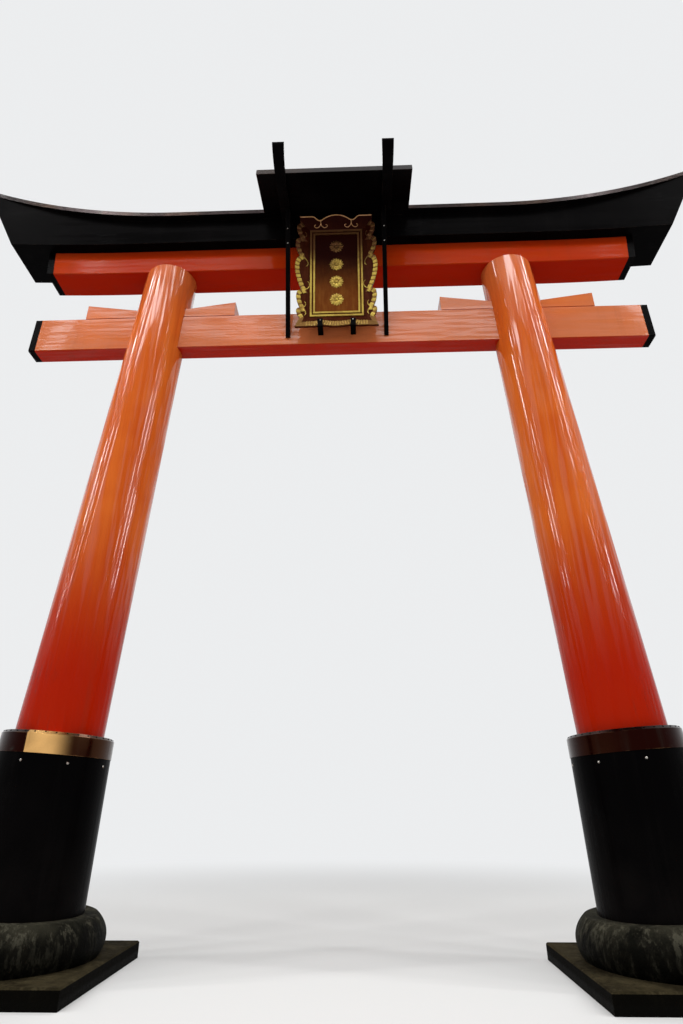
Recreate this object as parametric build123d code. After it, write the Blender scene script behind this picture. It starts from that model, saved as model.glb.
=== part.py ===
from build123d import *
import os
from math import cos, degrees, radians, sin, sqrt, tan

# A timber torii gate with a hooded name plaque. Millimetres, +Z up, X along the beams.
# It is drawn with both pillar axes in the plane Y = 0 and its front towards -Y,
# and is then moved along Y so that the origin is under the middle of the whole gate.

# Slab and rounded stone under each pillar
SLAB_SIDE = 1031.0
SLAB_HEIGHT = 85.0
SLAB_EDGE = 8.0
STONE_RADIUS = 469.0
STONE_FOOT_RADIUS = 440.0
STONE_HEIGHT = 215.0
STONE_BELLY = 80.0
STONE_CROWN = 310.0

# Pillars
PILLAR_SPACING = 3440.0
PILLAR_LEAN = 3.69
PILLAR_FOOT_RADIUS = 257.0
PILLAR_HEAD_RADIUS = 203.0
PILLAR_HEIGHT = 4506.0

# Black sleeve around each pillar's foot, with a copper band over its top
SLEEVE_HEIGHT = 873.0
SLEEVE_FOOT_RADIUS = 342.0
SLEEVE_TOP_RADIUS = 306.0
SLEEVE_CHAMFER = 12.0
SLEEVE_CLEARANCE = 0.5
BAND_HEIGHT = 112.0
BAND_THICKNESS = 3.0

# Tie beam, which passes through both pillars, and its end caps
TIE_BEAM_HEIGHT = 321.0
TIE_BEAM_THICKNESS = 140.0
TIE_BEAM_LENGTH = 4800.0
TIE_BEAM_CAP_LENGTH = 52.0
BEAM_EDGE = 6.0
MORTISE_CLEARANCE = 1.5

# Wedges driven over the tie beam from both faces of each pillar
WEDGE_LENGTH = 550.0
WEDGE_GRIP = 150.0
WEDGE_TIP_HEIGHT = 60.0
WEDGE_HEAD_HEIGHT = 143.0

# Strut between the tie beam and the lower lintel
STRUT_HEIGHT = 442.0
STRUT_WIDTH = 250.0
STRUT_THICKNESS = 130.0

# Lower lintel, which rises a little towards its ends
LOWER_LINTEL_HEIGHT = 247.0
LOWER_LINTEL_DEPTH = 246.0
LOWER_LINTEL_LENGTH = 4768.0
LOWER_LINTEL_CAP_LENGTH = 55.0
LOWER_LINTEL_END_SLANT = 6.0
LINTEL_RISE_START = 1650.0
LINTEL_RISE_RADIUS = 18000.0

# Upper lintel, whose top sweeps up towards its ends
UPPER_LINTEL_HEIGHT = 209.0
UPPER_LINTEL_DEPTH = 412.0
UPPER_LINTEL_FLARE = 10.2
UPPER_LINTEL_LENGTH = 5490.0
UPPER_LINTEL_END_SLANT = 26.6
EAVE_RISE_START = 1350.0
EAVE_RISE_RADIUS = 4275.0

# Roof on the upper lintel
ROOF_DEPTH = 602.0
ROOF_EDGE_HEIGHT = 40.0
ROOF_PITCH = 20.0
ROOF_END_OVERHANG = 12.0
RIDGE_WIDTH = 44.0
RIDGE_HEIGHT = 8.0
EDGE_STRIP_THICKNESS = 4.0

# Plaque, which leans forward, with a flared frame
PLAQUE_LEAN = 11.0
PLAQUE_RIM_FORWARD = 172.0
PLAQUE_FOOT_RISE = 89.0
PANEL_WIDTH = 426.0
PANEL_HEIGHT = 793.0
PANEL_THICKNESS = 24.0
FRAME_WIDTH = 107.0
FRAME_DEPTH = 45.0
FRAME_THICKNESS = 24.0
BORDER_WIDTH = 40.0
BORDER_THICKNESS = 8.0
BORDER_INSET = 2.0
BORDER_GROOVE_WIDTH = 13.0
BORDER_GROOVE_DEPTH = 4.0

# Scroll-cut outline of the frame's sides, from the rail up to the crest: each notch's distance
# in from the frame's full width and share of its height, and the same distance for each crown between
SIDE_NOTCHES = ((28.0, 0.085), (33.0, 0.174), (45.0, 0.338), (32.0, 0.641), (37.0, 0.812), (33.0, 0.945))
SIDE_CROWNS = (5.0, 4.0, -7.0, -4.0, 6.0)
LOBE_SWELL_START = 0.4
LOBE_SWELL_END = 0.95
CREST_CORNER_INSET = 26.0
CREST_SHOULDER = 196.0
CREST_CUSP = 124.0
CREST_CUSP_DEPTH = 30.0
CREST_SLOPE = 38.0
CREST_RISE = 8.0
RAIL_CORNER_REACH = 5.0
RAIL_SHOULDER = 175.0
RAIL_CUSP_DEPTH = 14.0
RAIL_SAG = 6.0

# Hooks that carry the plaque, and the stays behind its top
HOOK_WIDTH = 42.0
HOOK_THICKNESS = 8.0
HOOK_OFFSET = 128.0
HOOK_LIP = 64.0
HOOK_CLEARANCE = 0.3
STAY_OFFSET = 150.0
STAY_SECTION = 30.0
STAY_RISE = 124.0

# Hood over the plaque, on two arms with upturned noses
HOOD_WIDTH = 1200.0
HOOD_REACH = 413.0
HOOD_THICKNESS = 65.0
HOOD_SLOPE = 11.0
HOOD_DROP = 15.0
ARM_WIDTH = 76.0
ARM_OFFSET = 408.0
ARM_HEIGHT = 78.0
NOSE_START = 319.0
NOSE_RADIUS = 279.0
NOSE_LENGTH = 190.0
NOSE_TIP_THICKNESS = 17.0
NOSE_TIP_WIDTH = 90.0

# Slender braces from the tie beam up to the hood arms
BRACE_SECTION = 34.0
BRACE_LEAN = 18.0
BRACE_FOOT_RISE = 67.0
BRACE_SEAT = 60.0

# Levels and places that follow from the sizes above
STONE_TOP = SLAB_HEIGHT + STONE_HEIGHT
SLEEVE_TOP = STONE_TOP + SLEEVE_HEIGHT
PILLAR_TOP = STONE_TOP + PILLAR_HEIGHT
TIE_BEAM_TOP = PILLAR_TOP - STRUT_HEIGHT
TIE_BEAM_BOTTOM = TIE_BEAM_TOP - TIE_BEAM_HEIGHT
LOWER_LINTEL_TOP = PILLAR_TOP + LOWER_LINTEL_HEIGHT
EAVE_LEVEL = LOWER_LINTEL_TOP + UPPER_LINTEL_HEIGHT
FAR = 4 * PILLAR_SPACING

SIDES = (("left", -1), ("right", 1))


def pillar_x(level):
    """How far a pillar's axis is from the middle of the gate at a level."""
    return PILLAR_SPACING / 2 - level * tan(radians(PILLAR_LEAN))


def pillar_radius(level):
    """The pillar's radius at a level."""
    share = (level - STONE_TOP) / PILLAR_HEIGHT
    return PILLAR_FOOT_RADIUS + share * (PILLAR_HEAD_RADIUS - PILLAR_FOOT_RADIUS)


def across_pillar(side, level):
    """The plane square to a pillar's axis where the axis passes a level."""
    lean = radians(PILLAR_LEAN)
    return Plane(
        origin=(side * pillar_x(level), 0, level),
        x_dir=(cos(lean), 0, side * sin(lean)),
        z_dir=(-side * sin(lean), 0, cos(lean)),
    )


def leaning_cone(side, low, low_radius, high, high_radius):
    """A cone about a pillar's leaning axis, cut square to it at two levels of the axis."""
    length = (high - low) / cos(radians(PILLAR_LEAN))
    cone = Cone(low_radius, high_radius, length, align=(Align.CENTER, Align.CENTER, Align.MIN))
    return across_pillar(side, low) * cone


def block(x_range, y_range, z_range):
    """A box between two values along each axis."""
    size = [high - low for low, high in (x_range, y_range, z_range)]
    middle = [(high + low) / 2 for low, high in (x_range, y_range, z_range)]
    return Pos(*middle) * Box(*size)


def plate_in_xz(face, half_depth):
    """A face drawn in X and Z, thickened to both sides of the pillars' plane."""
    return extrude(Plane.XZ * face, amount=half_depth, both=True)


def slab(side):
    centre = side * pillar_x(STONE_TOP)
    body = Pos(centre, 0, SLAB_HEIGHT / 2) * Box(SLAB_SIDE, SLAB_SIDE, SLAB_HEIGHT)
    return chamfer(body.edges().group_by(Axis.Z)[-1], SLAB_EDGE)


def base_stone(side):
    """A bellied stone, its crown cut off square to the pillar to make the seat."""
    foot = (STONE_FOOT_RADIUS, 0)
    belly = (STONE_RADIUS, STONE_BELLY)
    crown = STONE_CROWN - STONE_BELLY
    outline = make_face([
        Line((0, 0), foot),
        TangentArc(belly, foot, tangent=(0, -1)),
        EllipticalCenterArc((0, STONE_BELLY), STONE_RADIUS, crown, arc_size=90),
        Line((0, STONE_CROWN), (0, 0)),
    ])
    body = Pos(side * pillar_x(STONE_TOP), 0, SLAB_HEIGHT) * revolve(Plane.XZ * outline, Axis.Z)
    above = Cylinder(2 * STONE_RADIUS, STONE_CROWN, align=(Align.CENTER, Align.CENTER, Align.MIN))
    return body - across_pillar(side, STONE_TOP) * above


def wedge_height(grip):
    """The wedge's height at a distance from its thin end."""
    share = grip / WEDGE_LENGTH
    return WEDGE_TIP_HEIGHT + share * (WEDGE_HEAD_HEIGHT - WEDGE_TIP_HEIGHT)


def pillar(side):
    spare = PILLAR_TOP + PILLAR_HEAD_RADIUS
    body = leaning_cone(side, STONE_TOP, PILLAR_FOOT_RADIUS, spare, pillar_radius(spare))
    body = body - block((-FAR, FAR), (-FAR, FAR), (PILLAR_TOP, FAR))
    centre = side * pillar_x(TIE_BEAM_TOP)
    half_width = TIE_BEAM_THICKNESS / 2 + MORTISE_CLEARANCE
    top = TIE_BEAM_TOP + wedge_height(WEDGE_GRIP) + MORTISE_CLEARANCE
    reach = 2 * PILLAR_FOOT_RADIUS
    mortise = block((centre - reach, centre + reach), (-half_width, half_width), (TIE_BEAM_BOTTOM, top))
    return body - mortise


def pillar_bore(side, low, high):
    """The room that a pillar takes between two levels, with its clearance."""
    low_radius = pillar_radius(low) + SLEEVE_CLEARANCE
    return leaning_cone(side, low, low_radius, high, pillar_radius(high) + SLEEVE_CLEARANCE)


def sleeve_form(side, low, grow, rise):
    """The sleeve's outside from a level up, grown outwards, with its chamfered top raised."""
    shoulder = SLEEVE_TOP - SLEEVE_CHAMFER
    share = (low - STONE_TOP) / (shoulder - STONE_TOP)
    low_radius = SLEEVE_FOOT_RADIUS + share * (SLEEVE_TOP_RADIUS - SLEEVE_FOOT_RADIUS)
    wide = SLEEVE_TOP_RADIUS + grow
    body = leaning_cone(side, low, low_radius + grow, shoulder, wide)
    return body + leaning_cone(side, shoulder, wide, SLEEVE_TOP + rise, wide - SLEEVE_CHAMFER - rise)


def sleeve(side):
    return sleeve_form(side, STONE_TOP, 0, 0) - pillar_bore(side, STONE_TOP, SLEEVE_TOP)


def sleeve_band(side):
    """The copper band around the sleeve's head, folded over its top up to the pillar."""
    low = SLEEVE_TOP - BAND_HEIGHT
    top = SLEEVE_TOP + BAND_THICKNESS
    outside = sleeve_form(side, low, SLEEVE_CLEARANCE + BAND_THICKNESS, BAND_THICKNESS)
    inside = sleeve_form(side, low, SLEEVE_CLEARANCE, 0)
    return outside - inside - pillar_bore(side, low, top)


def squared_timber(length, thickness, height):
    """A timber along X whose four long edges are eased."""
    timber = Box(length, thickness, height)
    return chamfer(timber.edges().filter_by(Axis.X), BEAM_EDGE)


def tie_beam():
    middle = (TIE_BEAM_BOTTOM + TIE_BEAM_TOP) / 2
    return Pos(0, 0, middle) * squared_timber(TIE_BEAM_LENGTH, TIE_BEAM_THICKNESS, TIE_BEAM_HEIGHT)


def tie_beam_cap(side):
    centre = side * (TIE_BEAM_LENGTH + TIE_BEAM_CAP_LENGTH) / 2
    middle = (TIE_BEAM_BOTTOM + TIE_BEAM_TOP) / 2
    return Pos(centre, 0, middle) * squared_timber(TIE_BEAM_CAP_LENGTH, TIE_BEAM_THICKNESS, TIE_BEAM_HEIGHT)


def wedge(side, towards):
    """A wedge of the pillar on one side, with its thick end outwards (+1) or inwards (-1)."""
    away = side * towards
    face = side * pillar_x(TIE_BEAM_TOP) + away * pillar_radius(TIE_BEAM_TOP)
    tip = face - away * WEDGE_GRIP
    head = tip + away * WEDGE_LENGTH
    outline = make_face(Polyline(
        (tip, TIE_BEAM_TOP),
        (head, TIE_BEAM_TOP),
        (head, TIE_BEAM_TOP + WEDGE_HEAD_HEIGHT),
        (tip, TIE_BEAM_TOP + WEDGE_TIP_HEIGHT),
        close=True,
    ))
    body = plate_in_xz(outline, TIE_BEAM_THICKNESS / 2)
    return chamfer(body.faces().sort_by(Axis.Z)[-1].edges(), BEAM_EDGE)


def centre_strut():
    post = Pos(0, 0, TIE_BEAM_TOP + STRUT_HEIGHT / 2) * Box(STRUT_WIDTH, STRUT_THICKNESS, STRUT_HEIGHT)
    return chamfer(post.edges().filter_by(Axis.Z), BEAM_EDGE)


def risen(x, level, start, radius):
    """The height at x of a line that is level in the middle and curves up from start."""
    return level + radius - sqrt(radius ** 2 - max(abs(x) - start, 0) ** 2)


def rising_line(level, start, radius, reach):
    """A line across the gate, level in the middle, with an arc up to each end."""
    middle = (start + reach) / 2
    arcs = []
    for side in (-1, 1):
        points = [(side * x, risen(x, level, start, radius)) for x in (start, middle, reach)]
        arcs.append(ThreePointArc(*points))
    return [arcs[0], Line((-start, level), (start, level)), arcs[1]]


def rising_face(low_line, high_line):
    """The face between two rising lines of the same reach."""
    edges = list(low_line) + list(high_line)
    for arc in (0, -1):
        edges.append(Line(low_line[arc] @ 1, high_line[arc] @ 1))
    return make_face(edges)


def between_ends(solid, half_length, level, slant):
    """A solid cut off at both ends by faces that lean outwards."""
    depth = FAR
    low = half_length - level * tan(radians(slant))
    high = half_length + (depth - level) * tan(radians(slant))
    region = make_face(Polyline((-low, 0), (low, 0), (high, depth), (-high, depth), close=True))
    return solid & plate_in_xz(region, depth)


def lower_lintel_blank():
    """The lower lintel before its ends are cut."""
    reach = LOWER_LINTEL_LENGTH / 2 + LOWER_LINTEL_HEIGHT + LOWER_LINTEL_CAP_LENGTH
    low = rising_line(PILLAR_TOP, LINTEL_RISE_START, LINTEL_RISE_RADIUS, reach)
    top_radius = LINTEL_RISE_RADIUS - LOWER_LINTEL_HEIGHT
    high = rising_line(LOWER_LINTEL_TOP, LINTEL_RISE_START, top_radius, reach)
    body = plate_in_xz(rising_face(low, high), LOWER_LINTEL_DEPTH / 2)
    edges = body.faces().filter_by(Axis.Y).edges()
    long_edges = edges.filter_by(lambda edge: abs(edge.center().X) < LOWER_LINTEL_LENGTH / 2)
    return chamfer(long_edges, BEAM_EDGE)


def lower_lintel():
    return between_ends(lower_lintel_blank(), LOWER_LINTEL_LENGTH / 2, PILLAR_TOP, LOWER_LINTEL_END_SLANT)


def lower_lintel_cap(side):
    capped = LOWER_LINTEL_LENGTH / 2 + LOWER_LINTEL_CAP_LENGTH
    whole = between_ends(lower_lintel_blank(), capped, PILLAR_TOP, LOWER_LINTEL_END_SLANT)
    ends = whole - lower_lintel()
    return ends.solids().sort_by(Axis.X)[0 if side < 0 else -1]


def upper_lintel():
    reach = UPPER_LINTEL_LENGTH / 2 + 2 * UPPER_LINTEL_HEIGHT
    low_radius = LINTEL_RISE_RADIUS - LOWER_LINTEL_HEIGHT
    low = rising_line(LOWER_LINTEL_TOP, LINTEL_RISE_START, low_radius, reach)
    high = rising_line(EAVE_LEVEL, EAVE_RISE_START, EAVE_RISE_RADIUS, reach)
    body = plate_in_xz(rising_face(low, high), ROOF_DEPTH / 2)
    body = body & flared_sides()
    return between_ends(body, UPPER_LINTEL_LENGTH / 2, LOWER_LINTEL_TOP, UPPER_LINTEL_END_SLANT)


def flared_sides():
    """A long prism between the upper lintel's front and back, which lean outwards."""
    half = UPPER_LINTEL_DEPTH / 2
    height = ROOF_DEPTH
    top_half = half + height * tan(radians(UPPER_LINTEL_FLARE))
    section = make_face(Polyline(
        (-half, LOWER_LINTEL_TOP),
        (half, LOWER_LINTEL_TOP),
        (top_half, LOWER_LINTEL_TOP + height),
        (-top_half, LOWER_LINTEL_TOP + height),
        close=True,
    ))
    return extrude(Plane.YZ * section, amount=FAR, both=True)


def along_eave(section):
    """A section drawn in Y and Z at the eave, run along the level middle and up both ends."""
    middle = extrude(Plane.YZ * section, amount=EAVE_RISE_START, both=True)
    reach = UPPER_LINTEL_LENGTH / 2 + 2 * UPPER_LINTEL_HEIGHT
    turn = degrees((reach - EAVE_RISE_START) / EAVE_RISE_RADIUS)
    for side in (-1, 1):
        start = Plane.YZ.offset(side * EAVE_RISE_START) * section
        centre = (side * EAVE_RISE_START, 0, EAVE_LEVEL + EAVE_RISE_RADIUS)
        axis = Axis(centre, (0, -side, 0))
        middle = middle + revolve(start, axis, turn)
    half_length = UPPER_LINTEL_LENGTH / 2 + ROOF_END_OVERHANG
    return between_ends(middle, half_length, LOWER_LINTEL_TOP, UPPER_LINTEL_END_SLANT)


def roof():
    """Two slopes with a flat roll along the ridge."""
    half = ROOF_DEPTH / 2 - EDGE_STRIP_THICKNESS
    edge = EAVE_LEVEL + ROOF_EDGE_HEIGHT
    slope = tan(radians(ROOF_PITCH))
    roll = RIDGE_WIDTH / 2
    low_ridge = edge + (half - roll) * slope
    high_ridge = edge + half * slope + RIDGE_HEIGHT
    section = make_face(Polyline(
        (-half, EAVE_LEVEL),
        (half, EAVE_LEVEL),
        (half, edge),
        (roll, low_ridge),
        (roll, high_ridge),
        (-roll, high_ridge),
        (-roll, low_ridge),
        (-half, edge),
        close=True,
    ))
    return along_eave(section)


def eave_edge(side):
    """The copper strip along one long edge of the roof."""
    centre = side * (ROOF_DEPTH - EDGE_STRIP_THICKNESS) / 2
    strip = Pos(centre, EAVE_LEVEL + ROOF_EDGE_HEIGHT / 2) * Rectangle(EDGE_STRIP_THICKNESS, ROOF_EDGE_HEIGHT)
    return along_eave(strip)


# The plaque's own plane: X across, Y up its face, Z outwards from its rim
PLAQUE_PLANE = Plane(
    origin=(0, -PLAQUE_RIM_FORWARD, TIE_BEAM_BOTTOM + PLAQUE_FOOT_RISE),
    x_dir=(1, 0, 0),
    z_dir=(0, -cos(radians(PLAQUE_LEAN)), -sin(radians(PLAQUE_LEAN))),
)
PLAQUE_HALF_WIDTH = PANEL_WIDTH / 2 + FRAME_WIDTH
PLAQUE_HEIGHT = PANEL_HEIGHT + 2 * FRAME_WIDTH
PLAQUE_MIDDLE = PLAQUE_HEIGHT / 2


def on_plaque(sketch, out):
    """A sketch placed parallel to the plaque, at a distance outwards from its rim."""
    return PLAQUE_PLANE.offset(out) * (Pos(0, PLAQUE_MIDDLE) * sketch)


def flared_dish(back):
    """The space in front of the flared frame, moved back by a distance."""
    grow = 2 * FRAME_WIDTH
    low = on_plaque(Rectangle(PANEL_WIDTH, PANEL_HEIGHT), -FRAME_DEPTH - back)
    wide = Rectangle(PANEL_WIDTH + 2 * grow, PANEL_HEIGHT + 2 * grow)
    high = on_plaque(wide, FRAME_DEPTH - back)
    return loft([low, high], ruled=True)


def side_point(inset, share):
    """A point of the frame's right outline, about the plaque's middle."""
    return (PLAQUE_HALF_WIDTH - inset, (share - 0.5) * PLAQUE_HEIGHT)


def rail_outline(top):
    """The lower outline's right half: a sag, a cusp over the hook and a pointed corner."""
    middle = (0, -top - RAIL_SAG)
    cusp = (HOOK_OFFSET, -top + RAIL_CUSP_DEPTH)
    shoulder = (RAIL_SHOULDER, -top)
    rise = ((HOOK_OFFSET + RAIL_SHOULDER) / 2, -top + RAIL_CUSP_DEPTH / 4)
    corner = (PLAQUE_HALF_WIDTH + RAIL_CORNER_REACH, -top)
    return [
        ThreePointArc(middle, (HOOK_OFFSET / 2, -top), cusp),
        ThreePointArc(cusp, rise, shoulder),
        Line(shoulder, corner),
        Line(corner, side_point(*SIDE_NOTCHES[0])),
    ]


def crest_outline(top):
    """The upper outline's right half: a pointed corner, a cusp and half of a low hump."""
    corner = (PLAQUE_HALF_WIDTH - CREST_CORNER_INSET, top)
    shoulder = (CREST_SHOULDER, top)
    cusp = (CREST_CUSP, top - CREST_CUSP_DEPTH)
    bend = ((CREST_CUSP + CREST_SHOULDER) / 2, top - CREST_CUSP_DEPTH / 2)
    hump = (CREST_CUSP - CREST_SLOPE, top - CREST_CUSP_DEPTH / 3)
    peak = (0, top + CREST_RISE)
    return [
        Line(side_point(*SIDE_NOTCHES[-1]), corner),
        Line(corner, shoulder),
        TangentArc(shoulder, bend, tangent=(-1, 0)),
        TangentArc(cusp, bend, tangent=(1, 0)),
        TangentArc(peak, hump, tangent=(1, 0)),
        Line(hump, cusp),
    ]


def side_lobe(low, crown_inset, high):
    """A lobe that swells slowly from its low notch and turns in sharply under the high one."""
    start = side_point(*low)
    end = side_point(*high)
    rise = end[1] - start[1]
    notch_x = (start[0] + end[0]) / 2
    reach = notch_x + (PLAQUE_HALF_WIDTH - crown_inset - notch_x) * 4 / 3
    handles = [(reach, start[1] + share * rise) for share in (LOBE_SWELL_START, LOBE_SWELL_END)]
    return Bezier(start, *handles, end)


def scalloped_half():
    """The right half of the frame's outline, as a face about the plaque's middle."""
    top = PLAQUE_HEIGHT / 2
    edges = rail_outline(top) + crest_outline(top)
    for low, crown_inset, high in zip(SIDE_NOTCHES, SIDE_CROWNS, SIDE_NOTCHES[1:]):
        edges.append(side_lobe(low, crown_inset, high))
    edges.append(Line((0, top + CREST_RISE), (0, -top - RAIL_SAG)))
    return make_face(edges)


def plaque_frame():
    """The whole flared frame, before it is parted at its mitres."""
    half = scalloped_half()
    outline = half + mirror(half, Plane.YZ)
    depth = FRAME_DEPTH + 2 * FRAME_THICKNESS
    silhouette = extrude(on_plaque(outline, -depth), amount=depth + FRAME_THICKNESS / 2)
    dish = (silhouette & flared_dish(FRAME_THICKNESS)) - flared_dish(0)
    opening = Rectangle(PANEL_WIDTH, PANEL_HEIGHT)
    return dish - extrude(on_plaque(opening, -depth), amount=2 * depth)


def frame_board(frame, turns):
    """One board of the frame: the right side, the crest, the left side or the rail."""
    reach = 2 * FRAME_WIDTH
    across = (PANEL_WIDTH, PANEL_HEIGHT) if turns % 2 == 0 else (PANEL_HEIGHT, PANEL_WIDTH)
    inner = across[0] / 2
    end = across[1] / 2
    quarter = make_face(Polyline(
        (inner, -end),
        (inner + reach, -end - reach),
        (inner + reach, end + reach),
        (inner, end),
        close=True,
    ))
    depth = 2 * (FRAME_DEPTH + FRAME_THICKNESS)
    region = extrude(on_plaque(Rot(0, 0, 90 * turns) * quarter, -depth), amount=2 * depth)
    return frame & region


def plaque_panel():
    back = -FRAME_DEPTH - PANEL_THICKNESS
    return extrude(on_plaque(Rectangle(PANEL_WIDTH, PANEL_HEIGHT), back), amount=PANEL_THICKNESS)


def ring(width, height, thickness):
    """A rectangular ring of a width and height outside and a thickness of its sides."""
    return Rectangle(width, height) - Rectangle(width - 2 * thickness, height - 2 * thickness)


def plaque_border():
    width = PANEL_WIDTH - 2 * BORDER_INSET
    height = PANEL_HEIGHT - 2 * BORDER_INSET
    body = extrude(on_plaque(ring(width, height, BORDER_WIDTH), -FRAME_DEPTH), amount=BORDER_THICKNESS)
    land = (BORDER_WIDTH - BORDER_GROOVE_WIDTH) / 2
    groove = ring(width - 2 * land, height - 2 * land, BORDER_GROOVE_WIDTH)
    bottom = -FRAME_DEPTH + BORDER_THICKNESS - BORDER_GROOVE_DEPTH
    return body - extrude(on_plaque(groove, bottom), amount=2 * BORDER_THICKNESS)


def plate_in_yz(points, x, width):
    """An outline in Y and Z, thickened to a width about a place along X."""
    return extrude(Plane.YZ.offset(x) * make_face(Polyline(*points, close=True)), amount=width / 2, both=True)


def plaque_hook(side, rail):
    """An iron hook from the tie beam's face, under and in front of the plaque's rail."""
    beam_face = -TIE_BEAM_THICKNESS / 2
    centre = side * HOOK_OFFSET
    held = rail & block((centre - HOOK_WIDTH / 2, centre + HOOK_WIDTH / 2), (-FAR, FAR), (0, FAR))
    seat = held.bounding_box().min.Z - HOOK_CLEARANCE
    front = held.bounding_box().min.Y - HOOK_CLEARANCE
    outline = (
        (beam_face, seat - HOOK_THICKNESS),
        (front - HOOK_THICKNESS, seat - HOOK_THICKNESS),
        (front - HOOK_THICKNESS, seat + HOOK_LIP),
        (front, seat + HOOK_LIP),
        (front, seat),
        (beam_face, seat),
    )
    return plate_in_yz(outline, centre, HOOK_WIDTH)


def plaque_stay(side, panel):
    """A stay from the lower lintel's face to the back of the plaque."""
    lintel_face = -LOWER_LINTEL_DEPTH / 2
    centre = side * STAY_OFFSET
    half = STAY_SECTION / 2
    level = PILLAR_TOP + STAY_RISE
    bar = block((centre - half, centre + half), (-FAR, lintel_face), (level - half, level + half))
    front_side = extrude(on_plaque(Rectangle(FAR, FAR), -FRAME_DEPTH - PANEL_THICKNESS), amount=FAR)
    return bar - front_side


def hood_underside(y):
    """The level of the hood's underside at a place in front of the pillars' plane."""
    return EAVE_LEVEL - HOOD_DROP + (y + ROOF_DEPTH / 2) * tan(radians(HOOD_SLOPE))


def hood_board(width, reach, low, high):
    """A sloping board from the roof's front edge forwards, between two heights off the underside."""
    back = -ROOF_DEPTH / 2
    front = back - reach
    lean = tan(radians(HOOD_SLOPE))
    outline = (
        (back, hood_underside(back) + low),
        (front + low * lean, hood_underside(front) + low),
        (front + high * lean, hood_underside(front) + high),
        (back, hood_underside(back) + high),
    )
    return plate_in_yz(outline, 0, width)


def hood_roof():
    trimmed = HOOD_REACH - EDGE_STRIP_THICKNESS
    return hood_board(HOOD_WIDTH - 2 * EDGE_STRIP_THICKNESS, trimmed, 0, HOOD_THICKNESS)


def hood_edge():
    """The copper strip around the front and both sides of the hood."""
    return hood_board(HOOD_WIDTH, HOOD_REACH, 0, HOOD_THICKNESS) - hood_roof()


def arm_plan(side):
    """The arm seen from above: its sides are parallel, and spread a little along the nose."""
    centre = side * ARM_OFFSET
    half = ARM_WIDTH / 2
    front = -ROOF_DEPTH / 2 - HOOD_REACH
    tip = front - NOSE_LENGTH - NOSE_TIP_THICKNESS
    tip_half = NOSE_TIP_WIDTH / 2
    outline = make_face(Polyline(
        (centre - half, 0),
        (centre - half, front),
        (centre - tip_half, tip),
        (centre + tip_half, tip),
        (centre + half, front),
        (centre + half, 0),
        close=True,
    ))
    return extrude(outline, amount=FAR)


def hood_arm(side, lintel):
    """An arm from the upper lintel under the hood, with a nose that curves up in front."""
    back = -UPPER_LINTEL_DEPTH / 2
    back_top = back - UPPER_LINTEL_HEIGHT * tan(radians(UPPER_LINTEL_FLARE))
    start = -ROOF_DEPTH / 2 - NOSE_START
    front = -ROOF_DEPTH / 2 - HOOD_REACH
    low_start = hood_underside(start) - ARM_HEIGHT
    centre_y = start - NOSE_RADIUS * sin(radians(HOOD_SLOPE))
    centre_z = low_start + NOSE_RADIUS * cos(radians(HOOD_SLOPE))
    tip = front - NOSE_LENGTH

    def nose(y):
        return (y, centre_z - sqrt(NOSE_RADIUS ** 2 - (y - centre_y) ** 2))

    tip_low = nose(tip)
    tip_top = (tip - NOSE_TIP_THICKNESS / 3, tip_low[1] + NOSE_TIP_THICKNESS)
    saddle = (front - NOSE_LENGTH / 2, nose(front - NOSE_LENGTH / 2)[1] + 2 * NOSE_TIP_THICKNESS)
    edges = [
        Line((back, hood_underside(back) - ARM_HEIGHT), (start, low_start)),
        ThreePointArc((start, low_start), nose((start + tip) / 2), tip_low),
        Line(tip_low, tip_top),
        ThreePointArc(tip_top, saddle, (front, hood_underside(front))),
        Line((front, hood_underside(front)), (back_top, hood_underside(back_top))),
        Line((back_top, hood_underside(back_top)), (back, hood_underside(back) - ARM_HEIGHT)),
    ]
    profile = Plane.YZ.offset(side * ARM_OFFSET) * make_face(edges)
    arm = extrude(profile, amount=NOSE_TIP_WIDTH / 2, both=True) & arm_plan(side)
    return arm - lintel


def hood_brace(side, arm):
    """A slender bar from the tie beam's face up to the arm, flush with its inner side."""
    beam_face = -TIE_BEAM_THICKNESS / 2
    lean = tan(radians(BRACE_LEAN))
    foot = TIE_BEAM_BOTTOM + BRACE_FOOT_RISE
    level = foot + BRACE_SEAT
    thickness = BRACE_SECTION / cos(radians(BRACE_LEAN))
    top = EAVE_LEVEL
    outline = (
        (beam_face, foot),
        (beam_face, level),
        (beam_face - lean * (top - level), top),
        (beam_face - thickness - lean * (top - level), top),
        (beam_face - thickness + lean * BRACE_SEAT, foot),
    )
    x = side * (ARM_OFFSET - ARM_WIDTH / 2 + BRACE_SECTION / 2)
    bar = plate_in_yz(outline, x, BRACE_SECTION) - arm
    return bar.solids().sort_by(Axis.Z)[0]


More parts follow.
